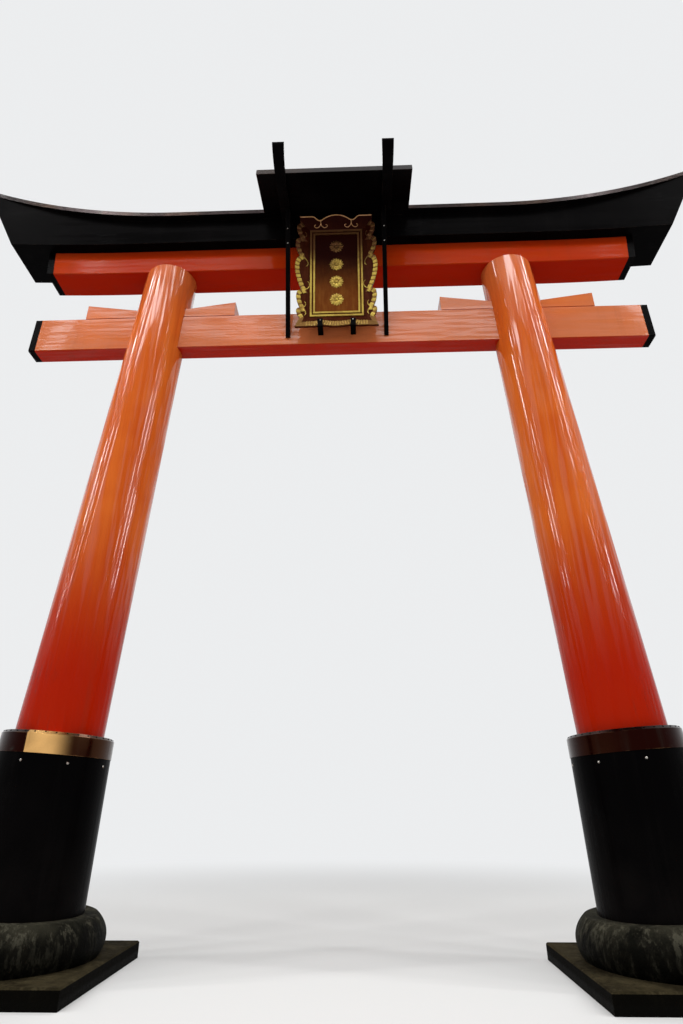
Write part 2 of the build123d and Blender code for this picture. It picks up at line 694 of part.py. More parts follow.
def build_parts():
    """Every piece of the gate, by name."""
    parts = {}
    for name, side in SIDES:
        parts["slab_" + name] = slab(side)
        parts["base_stone_" + name] = base_stone(side)
        parts["pillar_" + name] = pillar(side)
        parts["sleeve_" + name] = sleeve(side)
        parts["sleeve_band_" + name] = sleeve_band(side)
        parts["tie_beam_cap_" + name] = tie_beam_cap(side)
        parts["wedge_" + name + "_outer"] = wedge(side, 1)
        parts["wedge_" + name + "_inner"] = wedge(side, -1)
        parts["lower_lintel_cap_" + name] = lower_lintel_cap(side)
    parts["tie_beam"] = tie_beam()
    parts["centre_strut"] = centre_strut()
    parts["lower_lintel"] = lower_lintel()
    parts["upper_lintel"] = upper_lintel()
    parts["roof"] = roof()
    parts["eave_edge_front"] = eave_edge(-1)
    parts["eave_edge_back"] = eave_edge(1)
    frame = plaque_frame()
    parts["plaque_frame_right"] = frame_board(frame, 0)
    parts["plaque_crest"] = frame_board(frame, 1)
    parts["plaque_frame_left"] = frame_board(frame, 2)
    parts["plaque_rail"] = frame_board(frame, 3)
    parts["plaque_panel"] = plaque_panel()
    parts["plaque_border"] = plaque_border()
    parts["hood_roof"] = hood_roof()
    parts["hood_edge"] = hood_edge()
    for name, side in SIDES:
        parts["plaque_hook_" + name] = plaque_hook(side, parts["plaque_rail"])
        parts["plaque_stay_" + name] = plaque_stay(side, parts["plaque_panel"])
        parts["hood_arm_" + name] = hood_arm(side, parts["upper_lintel"])
        parts["hood_brace_" + name] = hood_brace(side, parts["hood_arm_" + name])
    return parts


def main():
    os.makedirs("parts", exist_ok=True)
    parts = build_parts()
    boxes = [shape.bounding_box() for shape in parts.values()]
    front = min(box.min.Y for box in boxes)
    back = max(box.max.Y for box in boxes)
    for name, shape in parts.items():
        export_step(Pos(0, -(front + back) / 2, 0) * shape, "parts/" + name + ".step")
    print("pieces:", len(parts), "pillar plane at Y =", round(-(front + back) / 2, 1))


main()
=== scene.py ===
# %% [markdown]
# This is a lesson in dressing a model: a timber torii gate, vermilion and black, with a gilt plaque
# hung in its middle. Its solids come from a packed CAD frame. They could be modelled again here, but
# they are measured already, so the script loads them, never moves them, and takes every place from
# them. It sets up a camera, gives each solid its finish, adds the carving, nails and seams that are
# too fine for solids, and then lights the gate.

import math

import bmesh
import bpy
from mathutils import Matrix, Vector
from mathutils.bvhtree import BVHTree
from mathutils.geometry import interpolate_bezier


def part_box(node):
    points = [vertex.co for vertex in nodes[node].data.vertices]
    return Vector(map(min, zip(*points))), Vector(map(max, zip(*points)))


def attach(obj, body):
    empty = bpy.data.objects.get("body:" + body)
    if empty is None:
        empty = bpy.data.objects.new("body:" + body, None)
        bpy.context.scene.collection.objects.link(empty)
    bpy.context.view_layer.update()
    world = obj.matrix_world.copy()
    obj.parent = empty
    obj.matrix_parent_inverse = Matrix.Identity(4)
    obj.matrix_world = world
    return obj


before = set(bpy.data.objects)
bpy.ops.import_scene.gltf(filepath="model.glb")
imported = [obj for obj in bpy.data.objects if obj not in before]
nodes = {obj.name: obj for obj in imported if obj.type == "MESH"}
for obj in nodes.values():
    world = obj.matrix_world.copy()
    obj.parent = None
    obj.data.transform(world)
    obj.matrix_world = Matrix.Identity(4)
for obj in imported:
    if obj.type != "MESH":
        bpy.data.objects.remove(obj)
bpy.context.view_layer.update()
print("pieces in the frame:", len(nodes))

# %% [markdown]
# The pillars stand a little behind the middle of the frame, because the hood over the plaque reaches
# forward. Their plane could be typed in as a number, but the middle of a slab tells it, and follows
# when a size changes.

# %% Find the pillars' plane
slab_low, slab_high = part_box("slab_right")
PILLAR_Y = (slab_low.y + slab_high.y) / 2
print("pillars' plane at y =", round(PILLAR_Y, 4))

# %% [markdown]
# The camera comes before any finish, because it decides what detail is worth making. The photograph
# was taken from low down, close in front and a little right of the middle, with a wide lens tilted
# well up. A camera could be aimed at a point with a constraint, but that can't give the slight roll,
# so its turn is built from three angles. Blender's camera looks down its own -Z, so the tilt is a
# right angle plus the pitch. The lens is worked out for the long side of the picture.

# %% Set the camera
CAMERA_PLACE = Vector((0.151, PILLAR_Y - 3.749, 0.807))
CAMERA_PITCH = math.radians(25.742)
CAMERA_YAW = math.radians(-1.875)
CAMERA_ROLL = math.radians(0.145)
FOCAL_PIXELS = 604.95
PICTURE_HEIGHT = 1024
SENSOR = 36.0


def into_scene(name, data):
    """A new object for some data, linked to the scene."""
    thing = bpy.data.objects.new(name, data)
    bpy.context.scene.collection.objects.link(thing)
    return thing


camera_data = bpy.data.cameras.new("camera")
camera_data.sensor_width = SENSOR
camera_data.lens = FOCAL_PIXELS / PICTURE_HEIGHT * SENSOR
camera = into_scene("camera", camera_data)
tilt = Matrix.Rotation(-CAMERA_YAW, 4, "Z") @ Matrix.Rotation(math.pi / 2 + CAMERA_PITCH, 4, "X")
camera.matrix_world = Matrix.Translation(CAMERA_PLACE) @ tilt @ Matrix.Rotation(-CAMERA_ROLL, 4, "Z")
bpy.context.scene.camera = camera
print("lens", round(camera_data.lens, 2), "mm")

# %% [markdown]
# Finishes and growing trees are both made of nodes. Nodes could be added, set and linked one by one,
# but that takes three lines for each. This helper does all of it in one line: an input that is given
# a socket is linked, and one that is given a plain value is set. Its shortcuts are the few steps that
# nearly every finish takes, such as spreading a range of noise into a mask.

# %% A short way to write nodes
class NodeMaker:
    """Adds nodes to one tree, linking sockets and setting plain values."""

    def __init__(self, tree):
        self.tree = tree

    def put(self, value, socket):
        """Links or sets one socket. A plain colour is given as three numbers."""
        if isinstance(value, bpy.types.NodeSocket):
            self.tree.links.new(value, socket)
        else:
            socket.default_value = (*value, 1.0) if socket.type == "RGBA" else value

    def add(self, kind, inputs=None, **settings):
        node = self.tree.nodes.new(kind)
        for name, value in settings.items():
            setattr(node, name, value)
        for name, value in (inputs or {}).items():
            self.put(value, node.inputs[name])
        return node

    def math(self, operation, first, second=0.0):
        return self.add("ShaderNodeMath", {0: first, 1: second}, operation=operation).outputs[0]

    def chain(self, operation, first, *others):
        for other in others:
            first = self.math(operation, first, other)
        return first

    def times(self, *values):
        return self.chain("MULTIPLY", *values)

    def plus(self, *values):
        return self.chain("ADD", *values)

    def most(self, *values):
        return self.chain("MAXIMUM", *values)

    def spread(self, value, low, high, to_low=0.0, to_high=1.0):
        """Maps a range of a value onto another, smoothly and clamped."""
        inputs = {"Value": value, "From Min": low, "From Max": high, "To Min": to_low, "To Max": to_high}
        return self.add("ShaderNodeMapRange", inputs, interpolation_type="SMOOTHSTEP").outputs["Result"]

    def layers(self, colour, *coats):
        """Lays coats over a colour. A coat is given as (the share that it covers, its colour)."""
        for share, coat in coats:
            node = self.add("ShaderNodeMix", data_type="RGBA")
            sockets = {socket.identifier: socket for socket in (*node.inputs, *node.outputs)}
            for name, value in (("Factor_Float", share), ("A_Color", colour), ("B_Color", coat)):
                self.put(value, sockets[name])
            colour = sockets["Result_Color"]
        return colour

    def noise(self, vector, scale, detail=3.0, roughness=0.5):
        inputs = {"Vector": vector, "Scale": scale, "Detail": detail, "Roughness": roughness}
        return self.add("ShaderNodeTexNoise", inputs).outputs["Fac"]

    def place(self):
        """The place on the gate, in metres."""
        return self.add("ShaderNodeTexCoord").outputs["Object"]

    def parts(self, vector):
        """The X, Y and Z of a vector."""
        return self.add("ShaderNodeSeparateXYZ", {0: vector}).outputs

    def vector(self, x, y, z):
        return self.add("ShaderNodeCombineXYZ", {"X": x, "Y": y, "Z": z}).outputs["Vector"]

    def facing(self):
        """How far the surface looks up: 1 on top, 0 on a side and -1 below."""
        return self.parts(self.add("ShaderNodeNewGeometry").outputs["Normal"])["Z"]

    def squeezed(self, vector, factors):
        """A vector whose X, Y and Z are multiplied, which draws noise out along the smallest."""
        return self.add("ShaderNodeVectorMath", {0: vector, 1: factors}, operation="MULTIPLY").outputs[0]

    def bump(self, height, strength, distance):
        """A normal that is tilted by a height."""
        inputs = {"Height": height, "Strength": strength, "Distance": distance}
        return self.add("ShaderNodeBump", inputs).outputs["Normal"]


print("shortcuts:", ", ".join(name for name in vars(NodeMaker) if name[0] != "_"))

# %% [markdown]
# On the real gate, paint chips where weather and hands reach an edge first. Such wear could be
# painted in a texture, but the solids aren't unwrapped, and a shader can find edges by itself. A
# Bevel node rounds the shading normal near an edge; where the rounded normal leaves the true one,
# there is an edge. Noise breaks the line up into chips, or it would look drawn. Paint, copper, stone
# and lacquer all wear this way, so it is a node group: built once, and placed with other values.

# %% Group: worn edges
BEVEL_SAMPLES = 4


def add_socket(tree, label, way, kind, value=None):
    """Gives a tree a named input or output, with underscores in its name read as spaces."""
    kind = "NodeSocket" + kind
    socket = tree.interface.new_socket(label.replace("_", " "), in_out=way, socket_type=kind)
    if value is not None:
        socket.default_value = value


def new_group(name, **inputs):
    """Starts a shader node group. Hands back a maker for its nodes and the sockets of its inputs."""
    made = NodeMaker(bpy.data.node_groups.new(name, "ShaderNodeTree"))
    for label, value in inputs.items():
        add_socket(made.tree, label, "INPUT", "Vector" if isinstance(value, tuple) else "Float", value)
    return made, made.add("NodeGroupInput").outputs


def close_group(made, **masks):
    """Hands the masks out of a group, which it gives back."""
    for label in masks:
        add_socket(made.tree, label, "OUTPUT", "Float")
    made.add("NodeGroupOutput", masks)
    print("group:", made.tree.name, "gives", ", ".join(masks))
    return made.tree


made, entry = new_group("worn edges", Width=0.006, Scale=30.0, Amount=0.5)
true_normal = made.add("ShaderNodeNewGeometry").outputs["Normal"]
soft_normal = made.add("ShaderNodeBevel", {"Radius": entry["Width"]}, samples=BEVEL_SAMPLES).outputs["Normal"]
both = {0: true_normal, 1: soft_normal}
agreement = made.add("ShaderNodeVectorMath", both, operation="DOT_PRODUCT").outputs["Value"]
edge = made.spread(made.math("SUBTRACT", 1.0, agreement), 0.01, 0.12)
patch = made.noise(made.place(), entry["Scale"], 4.0, 0.6)
whole = made.math("SUBTRACT", 1.0, entry["Amount"])
chips = made.spread(patch, made.times(whole, 0.8), made.plus(whole, 0.15))
edge_group = close_group(made, Mask=made.times(edge, chips))

# %% [markdown]
# Brushed enamel is never flat. Long soft streaks follow the timber, fine cracks open in patches, and
# a faint ripple moves the gloss. Each could be its own texture, but they all come from noise that is
# drawn out along the grain, so one group gives them all. Its Stretch input says which way the timber
# runs. Runs are the places where clear gloss lies thick.

# %% Group: brushed paint
made, entry = new_group("brushed paint", Stretch=(1.0, 1.0, 1.0), Scale=6.0)
place = made.place()
scale = entry["Scale"]
drawn = made.squeezed(place, entry["Stretch"])
streaks = made.noise(drawn, made.times(scale, 2.2), 5.0, 0.6)
ripple = made.noise(drawn, made.times(scale, 6.5), 2.0, 0.45)
fine = made.noise(drawn, made.times(scale, 3.1), 6.0, 0.7)
crack_line = made.spread(made.math("ABSOLUTE", made.plus(fine, -0.5)), 0.0, 0.012, 1.0, 0.0)
crack_area = made.spread(made.noise(place, made.times(scale, 0.35), 2.0), 0.56, 0.68)
paint_group = close_group(
    made,
    Tone=made.noise(place, made.times(scale, 0.22), 3.0, 0.55),
    Streaks=streaks,
    Ripple=ripple,
    Cracks=made.times(crack_line, crack_area),
    Runs=made.times(made.spread(streaks, 0.40, 0.50), made.spread(ripple, 0.42, 0.56)),
)

# %% [markdown]
# Outdoors, dust settles on what faces up, rain draws streaks down the sides, and splash dirties the
# lowest part. These could be one layer of dirt, but each comes from another cause and has another
# colour, so the group gives one mask for each.

# %% Group: weather
RAIN_DRAWN = (1.0, 1.0, 0.07)

made, entry = new_group("weather", Splash_top=0.6, Scale=5.0)
place = made.place()
mottle = made.noise(place, entry["Scale"], 5.0, 0.6)
marks = made.noise(made.squeezed(place, RAIN_DRAWN), made.times(entry["Scale"], 2.4), 4.0, 0.6)
low = made.spread(made.parts(place)["Z"], 0.0, entry["Splash top"], 1.0, 0.0)
weather_group = close_group(
    made,
    Dust=made.times(made.spread(made.facing(), 0.3, 0.95), made.spread(mottle, 0.35, 0.7)),
    Rain=made.spread(marks, 0.54, 0.74),
    Splash=made.times(low, made.spread(mottle, 0.3, 0.65)),
)

# %% [markdown]
# The simplest finish is the nails': bare, bright heads, a little rusty. A plain grey metal would do
# from afar, but rust is brown, rough and not metallic. So one noise drives the colour, the gloss and
# the metal at once, and the three always agree.

# %% Nail metal
BARE_IRON = (0.36, 0.34, 0.31)
RUST = (0.10, 0.036, 0.016)


def new_finish(name):
    """Starts a material and hands back a maker for its nodes."""
    finish = bpy.data.materials.new(name)
    finish.use_nodes = True
    maker = NodeMaker(finish.node_tree)
    maker.finish = finish
    return maker


def close_finish(maker, **sockets):
    """Links or sets the shader's sockets, and gives back the material."""
    shader = maker.tree.nodes["Principled BSDF"]
    for name, value in sockets.items():
        maker.put(value, shader.inputs[name.replace("_", " ")])
    print("finish:", maker.finish.name)
    return maker.finish


maker = new_finish("nail metal")
rust = maker.spread(maker.noise(maker.place(), 150.0, 4.0, 0.6), 0.48, 0.62)
nail_metal = close_finish(
    maker,
    Base_Color=maker.layers(BARE_IRON, (rust, RUST)),
    Roughness=maker.spread(rust, 0.0, 1.0, 0.28, 0.75),
    Metallic=maker.spread(rust, 0.0, 1.0, 0.95, 0.2),
    Normal=maker.bump(rust, 0.2, 0.0005),
)

# %% [markdown]
# Paint changes by where it is. Undersides and the foot are a deep red, which is painted shade, the
# open upper parts are paler, partly bleached and partly a painted sheen, and higher up the gloss
# still looks wet. Each piece could have a colour of its own, but the change runs on over the length
# of a pillar. So this group reads the height and the way that the surface faces, and gives a mask
# for each.

# %% Group: sun and shade
made, entry = new_group(
    "sun and shade",
    Tone=0.5,
    Red_below=1.0,
    Red_ends=2.0,
    Faded_above=0.0,
    Faded_full=1.0,
    Wet_above=1.0,
    Wet_full=2.0,
)
height = made.parts(made.place())["Z"]
facing = made.facing()
# Painted shade: deep red towards the foot and on undersides.
foot_shade = made.spread(height, entry["Red below"], entry["Red ends"], 1.0, 0.0)
under_shade = made.spread(facing, -0.8, -0.4, 1.0, 0.0)
# Paler in the open higher up: partly bleaching, partly a painted sheen.
in_the_open = made.spread(facing, -0.5, -0.1)
patchy = made.spread(entry["Tone"], 0.3, 0.6, 0.5, 1.0)
faded_height = made.spread(height, entry["Faded above"], entry["Faded full"])
sun_group = close_group(
    made,
    Shade=made.most(foot_shade, under_shade),
    Bleached=made.times(in_the_open, patchy, faded_height),
    Wet=made.spread(height, entry["Wet above"], entry["Wet full"]),
)

# %% [markdown]
# The gate's vermilion is an enamel brushed over cypress. High up it is orange, towards the foot and
# on undersides a deep red that is painted shade, and the tie beam, its wedges and the tops of the
# pillars are paler, partly bleached and partly a painted sheen.
# A single gloss would mirror the lamps as one smooth bar. On the real pillars the highlight breaks
# up, because runs of clear gloss lie on softer paint. So the runs are a coat over the paint: the
# coat mirrors sharply, and the paint between stays soft. The timber's direction differs between
# pillars and beams, so the finish is a function of it.

# %% Vermilion paint
VERMILION_LIGHT = (0.66, 0.137, 0.019)
VERMILION_DEEP = (0.52, 0.070, 0.006)
VERMILION_SHADE_RED = (0.38, 0.0085, 0.0005)
VERMILION_PALE_SHEEN = (0.52, 0.155, 0.060)
LINTEL_RED = (0.34, 0.008, 0.0005)
PRIMER = (0.20, 0.035, 0.012)
GRIME = (0.10, 0.035, 0.015)
SETTLED_DUST = (0.36, 0.20, 0.12)
ALONG_X = (0.06, 1.0, 1.0)
ALONG_Z = (1.0, 1.0, 0.035)
PAINTED_SHADE_AND_WET = {"Red_below": 1.45, "Red_ends": 2.75, "Wet_above": 1.3, "Wet_full": 2.4}
FADE_RISE = 0.8
COAT_ROUGHNESS = 0.05
BRUSH_DEPTH = 0.0055


def place_group(maker, group, **inputs):
    """Places a group, with underscores in its inputs' names read as spaces, and gives its outputs."""
    values = {name.replace("_", " "): value for name, value in inputs.items()}
    return maker.add("ShaderNodeGroup", values, node_tree=group).outputs


def vermilion(
    name, stretch, shine, relief, deep_red=VERMILION_SHADE_RED, red=0.0, faded=0.0, faded_above=0.0, wet=0.0
):
    """Enamel along one direction, with painted shade and sheen. Red, faded and wet are shares from 0 to 1."""
    maker = new_finish(name)
    paint = place_group(maker, paint_group, Stretch=stretch, Scale=6.0)
    worn = place_group(maker, edge_group, Width=0.007, Scale=26.0, Amount=0.42)["Mask"]
    air = place_group(maker, weather_group, Splash_top=1.4, Scale=4.0)
    fade = {"Faded_above": faded_above, "Faded_full": faded_above + FADE_RISE}
    sun = place_group(maker, sun_group, Tone=paint["Tone"], **PAINTED_SHADE_AND_WET, **fade)
    tone = maker.plus(maker.times(paint["Tone"], 0.6), maker.times(paint["Streaks"], 0.5))
    colour = maker.layers(
        VERMILION_LIGHT,
        (maker.spread(tone, 0.38, 0.72), VERMILION_DEEP),
        # Painted shade: deep red on undersides and towards the foot.
        (maker.times(maker.most(sun["Shade"], red), 0.96), deep_red),
        # Paler paint: partly bleaching and partly a painted sheen.
        (maker.times(sun["Bleached"], faded), VERMILION_PALE_SHEEN),
        (maker.times(air["Rain"], 0.15), GRIME),
        (maker.times(air["Dust"], 0.35), SETTLED_DUST),
        (maker.times(paint["Cracks"], 0.25), GRIME),
        (worn, PRIMER),
    )
    soft = maker.spread(paint["Streaks"], 0.42, 0.60, 0.06, 0.24)
    bumps = maker.plus(paint["Ripple"], maker.times(paint["Cracks"], -0.25), maker.times(worn, -0.6))
    return close_finish(
        maker,
        Base_Color=colour,
        Roughness=maker.plus(soft, maker.times(worn, 0.3), maker.times(air["Dust"], 0.25)),
        Coat_Weight=maker.times(paint["Runs"], sun["Wet"], wet),
        Coat_Roughness=COAT_ROUGHNESS,
        Specular_IOR_Level=shine,
        Normal=maker.bump(bumps, relief, BRUSH_DEPTH),
    )


vermilion_posts = vermilion(
    "vermilion posts", ALONG_Z, shine=0.04, relief=0.6, faded=0.35, faded_above=4.0, wet=0.9
)
vermilion_lintel = vermilion(
    "vermilion lintel", ALONG_X, shine=0.010, relief=0.22, deep_red=LINTEL_RED, red=0.8, wet=0.04
)
vermilion_beams = vermilion("vermilion beams", ALONG_X, shine=0.06, relief=0.22, faded=0.8, wet=0.22)

# %% [markdown]
# The black pieces are lacquered too, but duller. Black could be one dark colour, and then it would
# look like a hole. Real black shows its age in the gloss: dust, dry patches and rain marks change
# how sharply it reflects, so those masks drive the roughness more than the colour.

# %% Black paint
BLACK = (0.0010, 0.0008, 0.0009)
BLACK_SOFT = (0.0028, 0.0023, 0.0024)
BLACK_WORN = (0.030, 0.020, 0.015)
RAIN_MARK = (0.006, 0.005, 0.005)
DUST = (0.070, 0.058, 0.047)
NO_GRAIN = (1.0, 1.0, 1.0)
BLACK_WEAR = {"Width": 0.006, "Scale": 34.0, "Amount": 0.45}
BLACK_SHINE = 0.012


def black_paint(name, stretch, roughness, splash_top=0.4):
    """Black lacquer along one direction, dirtied up to a height by splash."""
    maker = new_finish(name)
    paint = place_group(maker, paint_group, Stretch=stretch, Scale=7.0)
    worn = place_group(maker, edge_group, **BLACK_WEAR)["Mask"]
    air = place_group(maker, weather_group, Splash_top=splash_top, Scale=5.0)
    dirt = maker.most(maker.times(air["Dust"], 0.5), maker.times(air["Splash"], 0.04))
    colour = maker.layers(
        BLACK,
        (maker.spread(paint["Tone"], 0.4, 0.75), BLACK_SOFT),
        (maker.times(air["Rain"], 0.3), RAIN_MARK),
        (dirt, DUST),
        (worn, BLACK_WORN),
    )
    dry = maker.spread(paint["Streaks"], 0.3, 0.7, roughness - 0.06, roughness + 0.12)
    bumps = maker.plus(maker.times(paint["Ripple"], 0.5), maker.times(paint["Cracks"], -1.0))
    return close_finish(
        maker,
        Base_Color=colour,
        Roughness=maker.plus(dry, maker.times(dirt, 0.4)),
        Specular_IOR_Level=BLACK_SHINE,
        Normal=maker.bump(bumps, 0.3, 0.002),
    )


black_beams = black_paint("black beams", ALONG_X, roughness=0.28)
black_posts = black_paint("black posts", ALONG_Z, roughness=0.34)
sleeve_black = black_paint("sleeve black", ALONG_Z, roughness=0.27, splash_top=0.9)
black_iron = black_paint("black iron", NO_GRAIN, roughness=0.42)

# %% [markdown]
# Copper tarnishes in soft clouds with a fine grain over them, and green crusts come in patches. One
# noise could give all three, but they differ in size, so the group has a noise for each.

# %% Group: tarnish
made, entry = new_group("tarnish", Scale=2.6)
place = made.place()
tarnish_group = close_group(
    made,
    Cloud=made.noise(place, entry["Scale"], 3.0, 0.5),
    Fine=made.noise(place, 45.0, 3.0, 0.6),
    Crust=made.spread(made.noise(place, 11.0, 6.0, 0.65), 0.60, 0.72),
)

# %% [markdown]
# The collars over the sleeves and the strips along the roof are copper. Outdoors it turns from
# salmon to brown and then, where rain stays, to a thin green. A metal's colour is its reflection, so
# the brown is the Base Color with Metallic high, and only the crust is less metallic. Beside its
# seam the left band shows a bright reflection. That could be a lamp's work, but no lamp is that
# narrow, so it is a painted reflection: a lighter colour in the finish, by its place. The right band
# is a dull maroon all round.

# %% Weathered copper
COPPER_MAROON = (0.013, 0.0014, 0.0006)
COPPER_DARK = (0.016, 0.010, 0.010)
COPPER_WORN = (0.32, 0.155, 0.060)
PAINTED_GOLD_REFLECTION = (0.95, 0.54, 0.19)
VERDIGRIS = (0.13, 0.20, 0.16)
COPPER_SHINE = 0.15
REFLECTION_FROM = -1.678
REFLECTION_FULL = -1.58
REFLECTION_TO = -1.44
REFLECTION_START = 0.003
REFLECTION_DEPTH = 0.1


def painted_reflection_share(maker, cloud):
    """The painted reflection on the left band: in front, beside the seam, and less where it has clouded."""
    at = maker.parts(maker.place())
    return maker.times(
        maker.spread(at["X"], REFLECTION_FROM - REFLECTION_START, REFLECTION_FROM),
        maker.spread(at["X"], REFLECTION_FULL, REFLECTION_TO, 1.0, 0.0),
        maker.spread(at["Y"], PILLAR_Y - REFLECTION_DEPTH, PILLAR_Y + REFLECTION_DEPTH, 1.0, 0.0),
        maker.spread(cloud, 0.25, 0.50, 0.55, 1.0),
    )


def copper(name, brown, worn_share, green, chips, with_painted_reflection=False):
    """Copper gone brown. Worn share, green and chips go from 0 to 1."""
    maker = new_finish(name)
    air = place_group(maker, weather_group, Splash_top=0.1, Scale=6.0)
    worn = place_group(maker, edge_group, Width=0.005, Scale=14.0, Amount=chips)["Mask"]
    tarnish = place_group(maker, tarnish_group, Scale=2.6)
    warm = maker.times(maker.spread(tarnish["Cloud"], 0.45, 0.75), worn_share)
    crust = maker.most(maker.times(tarnish["Crust"], green), maker.times(air["Rain"], green * 0.5))
    # A painted reflection: the left band's colour is lighter where it mirrors a bright light.
    painted_reflection = [(painted_reflection_share(maker, tarnish["Cloud"]), PAINTED_GOLD_REFLECTION)] if with_painted_reflection else []
    chipped = (maker.times(worn, 0.8), COPPER_WORN)
    polish = maker.spread(tarnish["Fine"], 0.3, 0.7, 0.13, 0.22)
    bumps = maker.plus(tarnish["Cloud"], maker.times(tarnish["Fine"], 0.15))
    return close_finish(
        maker,
        Base_Color=maker.layers(brown, (warm, COPPER_WORN), *painted_reflection, (crust, VERDIGRIS), chipped),
        Roughness=maker.plus(polish, maker.times(crust, 0.4)),
        Metallic=maker.math("SUBTRACT", 0.9, crust),
        Specular_IOR_Level=COPPER_SHINE,
        Normal=maker.bump(bumps, 0.25, 0.003),
    )


# The left band carries the painted reflection; the right one doesn't.
band_copper_and_reflection = copper("band copper with painted reflection", COPPER_MAROON, worn_share=0.10, green=0.06, chips=0.50, with_painted_reflection=True)
dull_copper = copper("dull copper", COPPER_MAROON, worn_share=0.03, green=0.05, chips=0.40)
strip_copper = copper("strip copper", COPPER_DARK, worn_share=0.08, green=0.10, chips=0.15)

# %% [markdown]
# The roof and the hood are black boards where they are seen from below and browned copper sheet on
# top. Their faces could be given one of two materials each, but that would change the solids' meshes.
# One material that mixes both finishes, by how far a face looks up, leaves them as they are.

# %% Roof cover
SHEET_BROWN = (0.075, 0.040, 0.028)
SHEET_WORN = (0.16, 0.085, 0.055)
ROOF_SHINE = 0.02

maker = new_finish("roof cover")
paint = place_group(maker, paint_group, Stretch=ALONG_X, Scale=7.0)
air = place_group(maker, weather_group, Splash_top=0.1, Scale=5.0)
worn = place_group(maker, edge_group, **BLACK_WEAR)["Mask"]
on_top = maker.spread(maker.facing(), 0.35, 0.5)
cloud = maker.noise(maker.place(), 5.0, 6.0, 0.6)
green = maker.times(maker.spread(cloud, 0.60, 0.72), 0.7)
sheet = maker.layers(SHEET_BROWN, (maker.spread(cloud, 0.35, 0.65), SHEET_WORN), (green, VERDIGRIS))
colour = maker.layers(
    BLACK,
    (maker.spread(paint["Tone"], 0.4, 0.75), BLACK_SOFT),
    (on_top, sheet),
    (maker.times(air["Dust"], 0.3), DUST),
    (maker.times(worn, 0.5), BLACK_WORN),
)
dry = maker.spread(paint["Streaks"], 0.3, 0.7, 0.24, 0.40)
roof_cover = close_finish(
    maker,
    Base_Color=colour,
    Roughness=maker.plus(dry, maker.times(air["Dust"], 0.3)),
    Metallic=maker.times(on_top, 0.75),
    Specular_IOR_Level=ROOF_SHINE,
    Normal=maker.bump(maker.plus(cloud, maker.times(paint["Ripple"], 0.08)), 0.25, 0.003),
)

# %% [markdown]
# Rain runs down stone, so moss and crusts of pale lichen follow it in streaks. Round spots of noise
# would look like a camouflage pattern, so the noise is squeezed along Z, and a finer one breaks the
# crusts up. Faces that look up are paler, partly rubbed and partly painted light from above. The
# sides are darker, a painted shade, and near the ground the stone is darker, partly damp and partly
# painted shade. Both stones of a foot are coloured this way, each with its own values.

# %% Group: weathered stone
STREAKED = (1.0, 1.0, 0.30)

made, entry = new_group("weathered stone", Streakiness=0.5, Damp_top=0.2)
place = made.place()
facing = made.facing()
drawn = made.squeezed(place, STREAKED)
cloud = made.noise(place, 5.0, 7.0, 0.68)
streak = made.noise(drawn, 11.0, 7.0, 0.72)
fine = made.noise(place, 60.0, 5.0, 0.7)
spots = made.spread(made.noise(drawn, 48.0, 3.0, 0.62), 0.44, 0.58, 0.12, 1.0)
runs = made.times(made.spread(facing, 0.9, 0.5, 0.45, 1.0), entry["Streakiness"])
crust = made.times(made.spread(streak, 0.53, 0.42), spots, runs)
damp_and_shade_from = made.times(entry["Damp top"], 0.50)
damp_and_shade_to = made.times(entry["Damp top"], 1.08)
damp_and_shade = made.spread(made.parts(place)["Z"], damp_and_shade_from, damp_and_shade_to, 1.0, 0.0)
stone_group = close_group(
    made,
    Ground=made.spread(cloud, 0.40, 0.62),
    Grain=made.spread(fine, 0.45, 0.62, 0.0, 0.5),
    Moss=made.times(made.spread(streak, 0.50, 0.58), runs),
    Crust=crust,
    # Lighter on faces that look up: partly rubbing, partly painted light from above.
    Rubbed=made.times(made.spread(facing, 0.2, 0.75), made.spread(cloud, 0.3, 0.6)),
    # Painted shade on the sides.
    Side=made.spread(facing, 0.75, 0.35),
    # Darker near the ground: partly damp, partly painted shade.
    Damp=made.times(damp_and_shade, made.spread(cloud, 0.30, 0.60, 0.98, 0.80)),
    Relief=made.plus(made.times(fine, 0.7), made.times(cloud, 1.5), made.times(crust, 0.25)),
)

# %% [markdown]
# Two stones carry each pillar: a rounded, dark granite base, much streaked, and a square sawn slab
# of a warmer stone, whose sides are darkened with painted shade. One texture of stone could serve
# both, but in the photograph they differ in colour and in age. So each has its own four colours,
# laid over each other by the masks of the group.

# %% Stone
GRANITE = {
    "base": (0.019, 0.017, 0.010),
    "dark": (0.004, 0.0038, 0.0024),
    "moss": (0.002, 0.0028, 0.0012),
    "pale": (0.150, 0.140, 0.100),
}
SLAB = {
    "base": (0.024, 0.018, 0.008),
    "dark": (0.009, 0.0065, 0.003),
    "moss": (0.008, 0.008, 0.003),
    "pale": (0.105, 0.086, 0.048),
}
STONE_SHADE = (0.002, 0.0018, 0.0013)
STONE_SHINE = 0.02


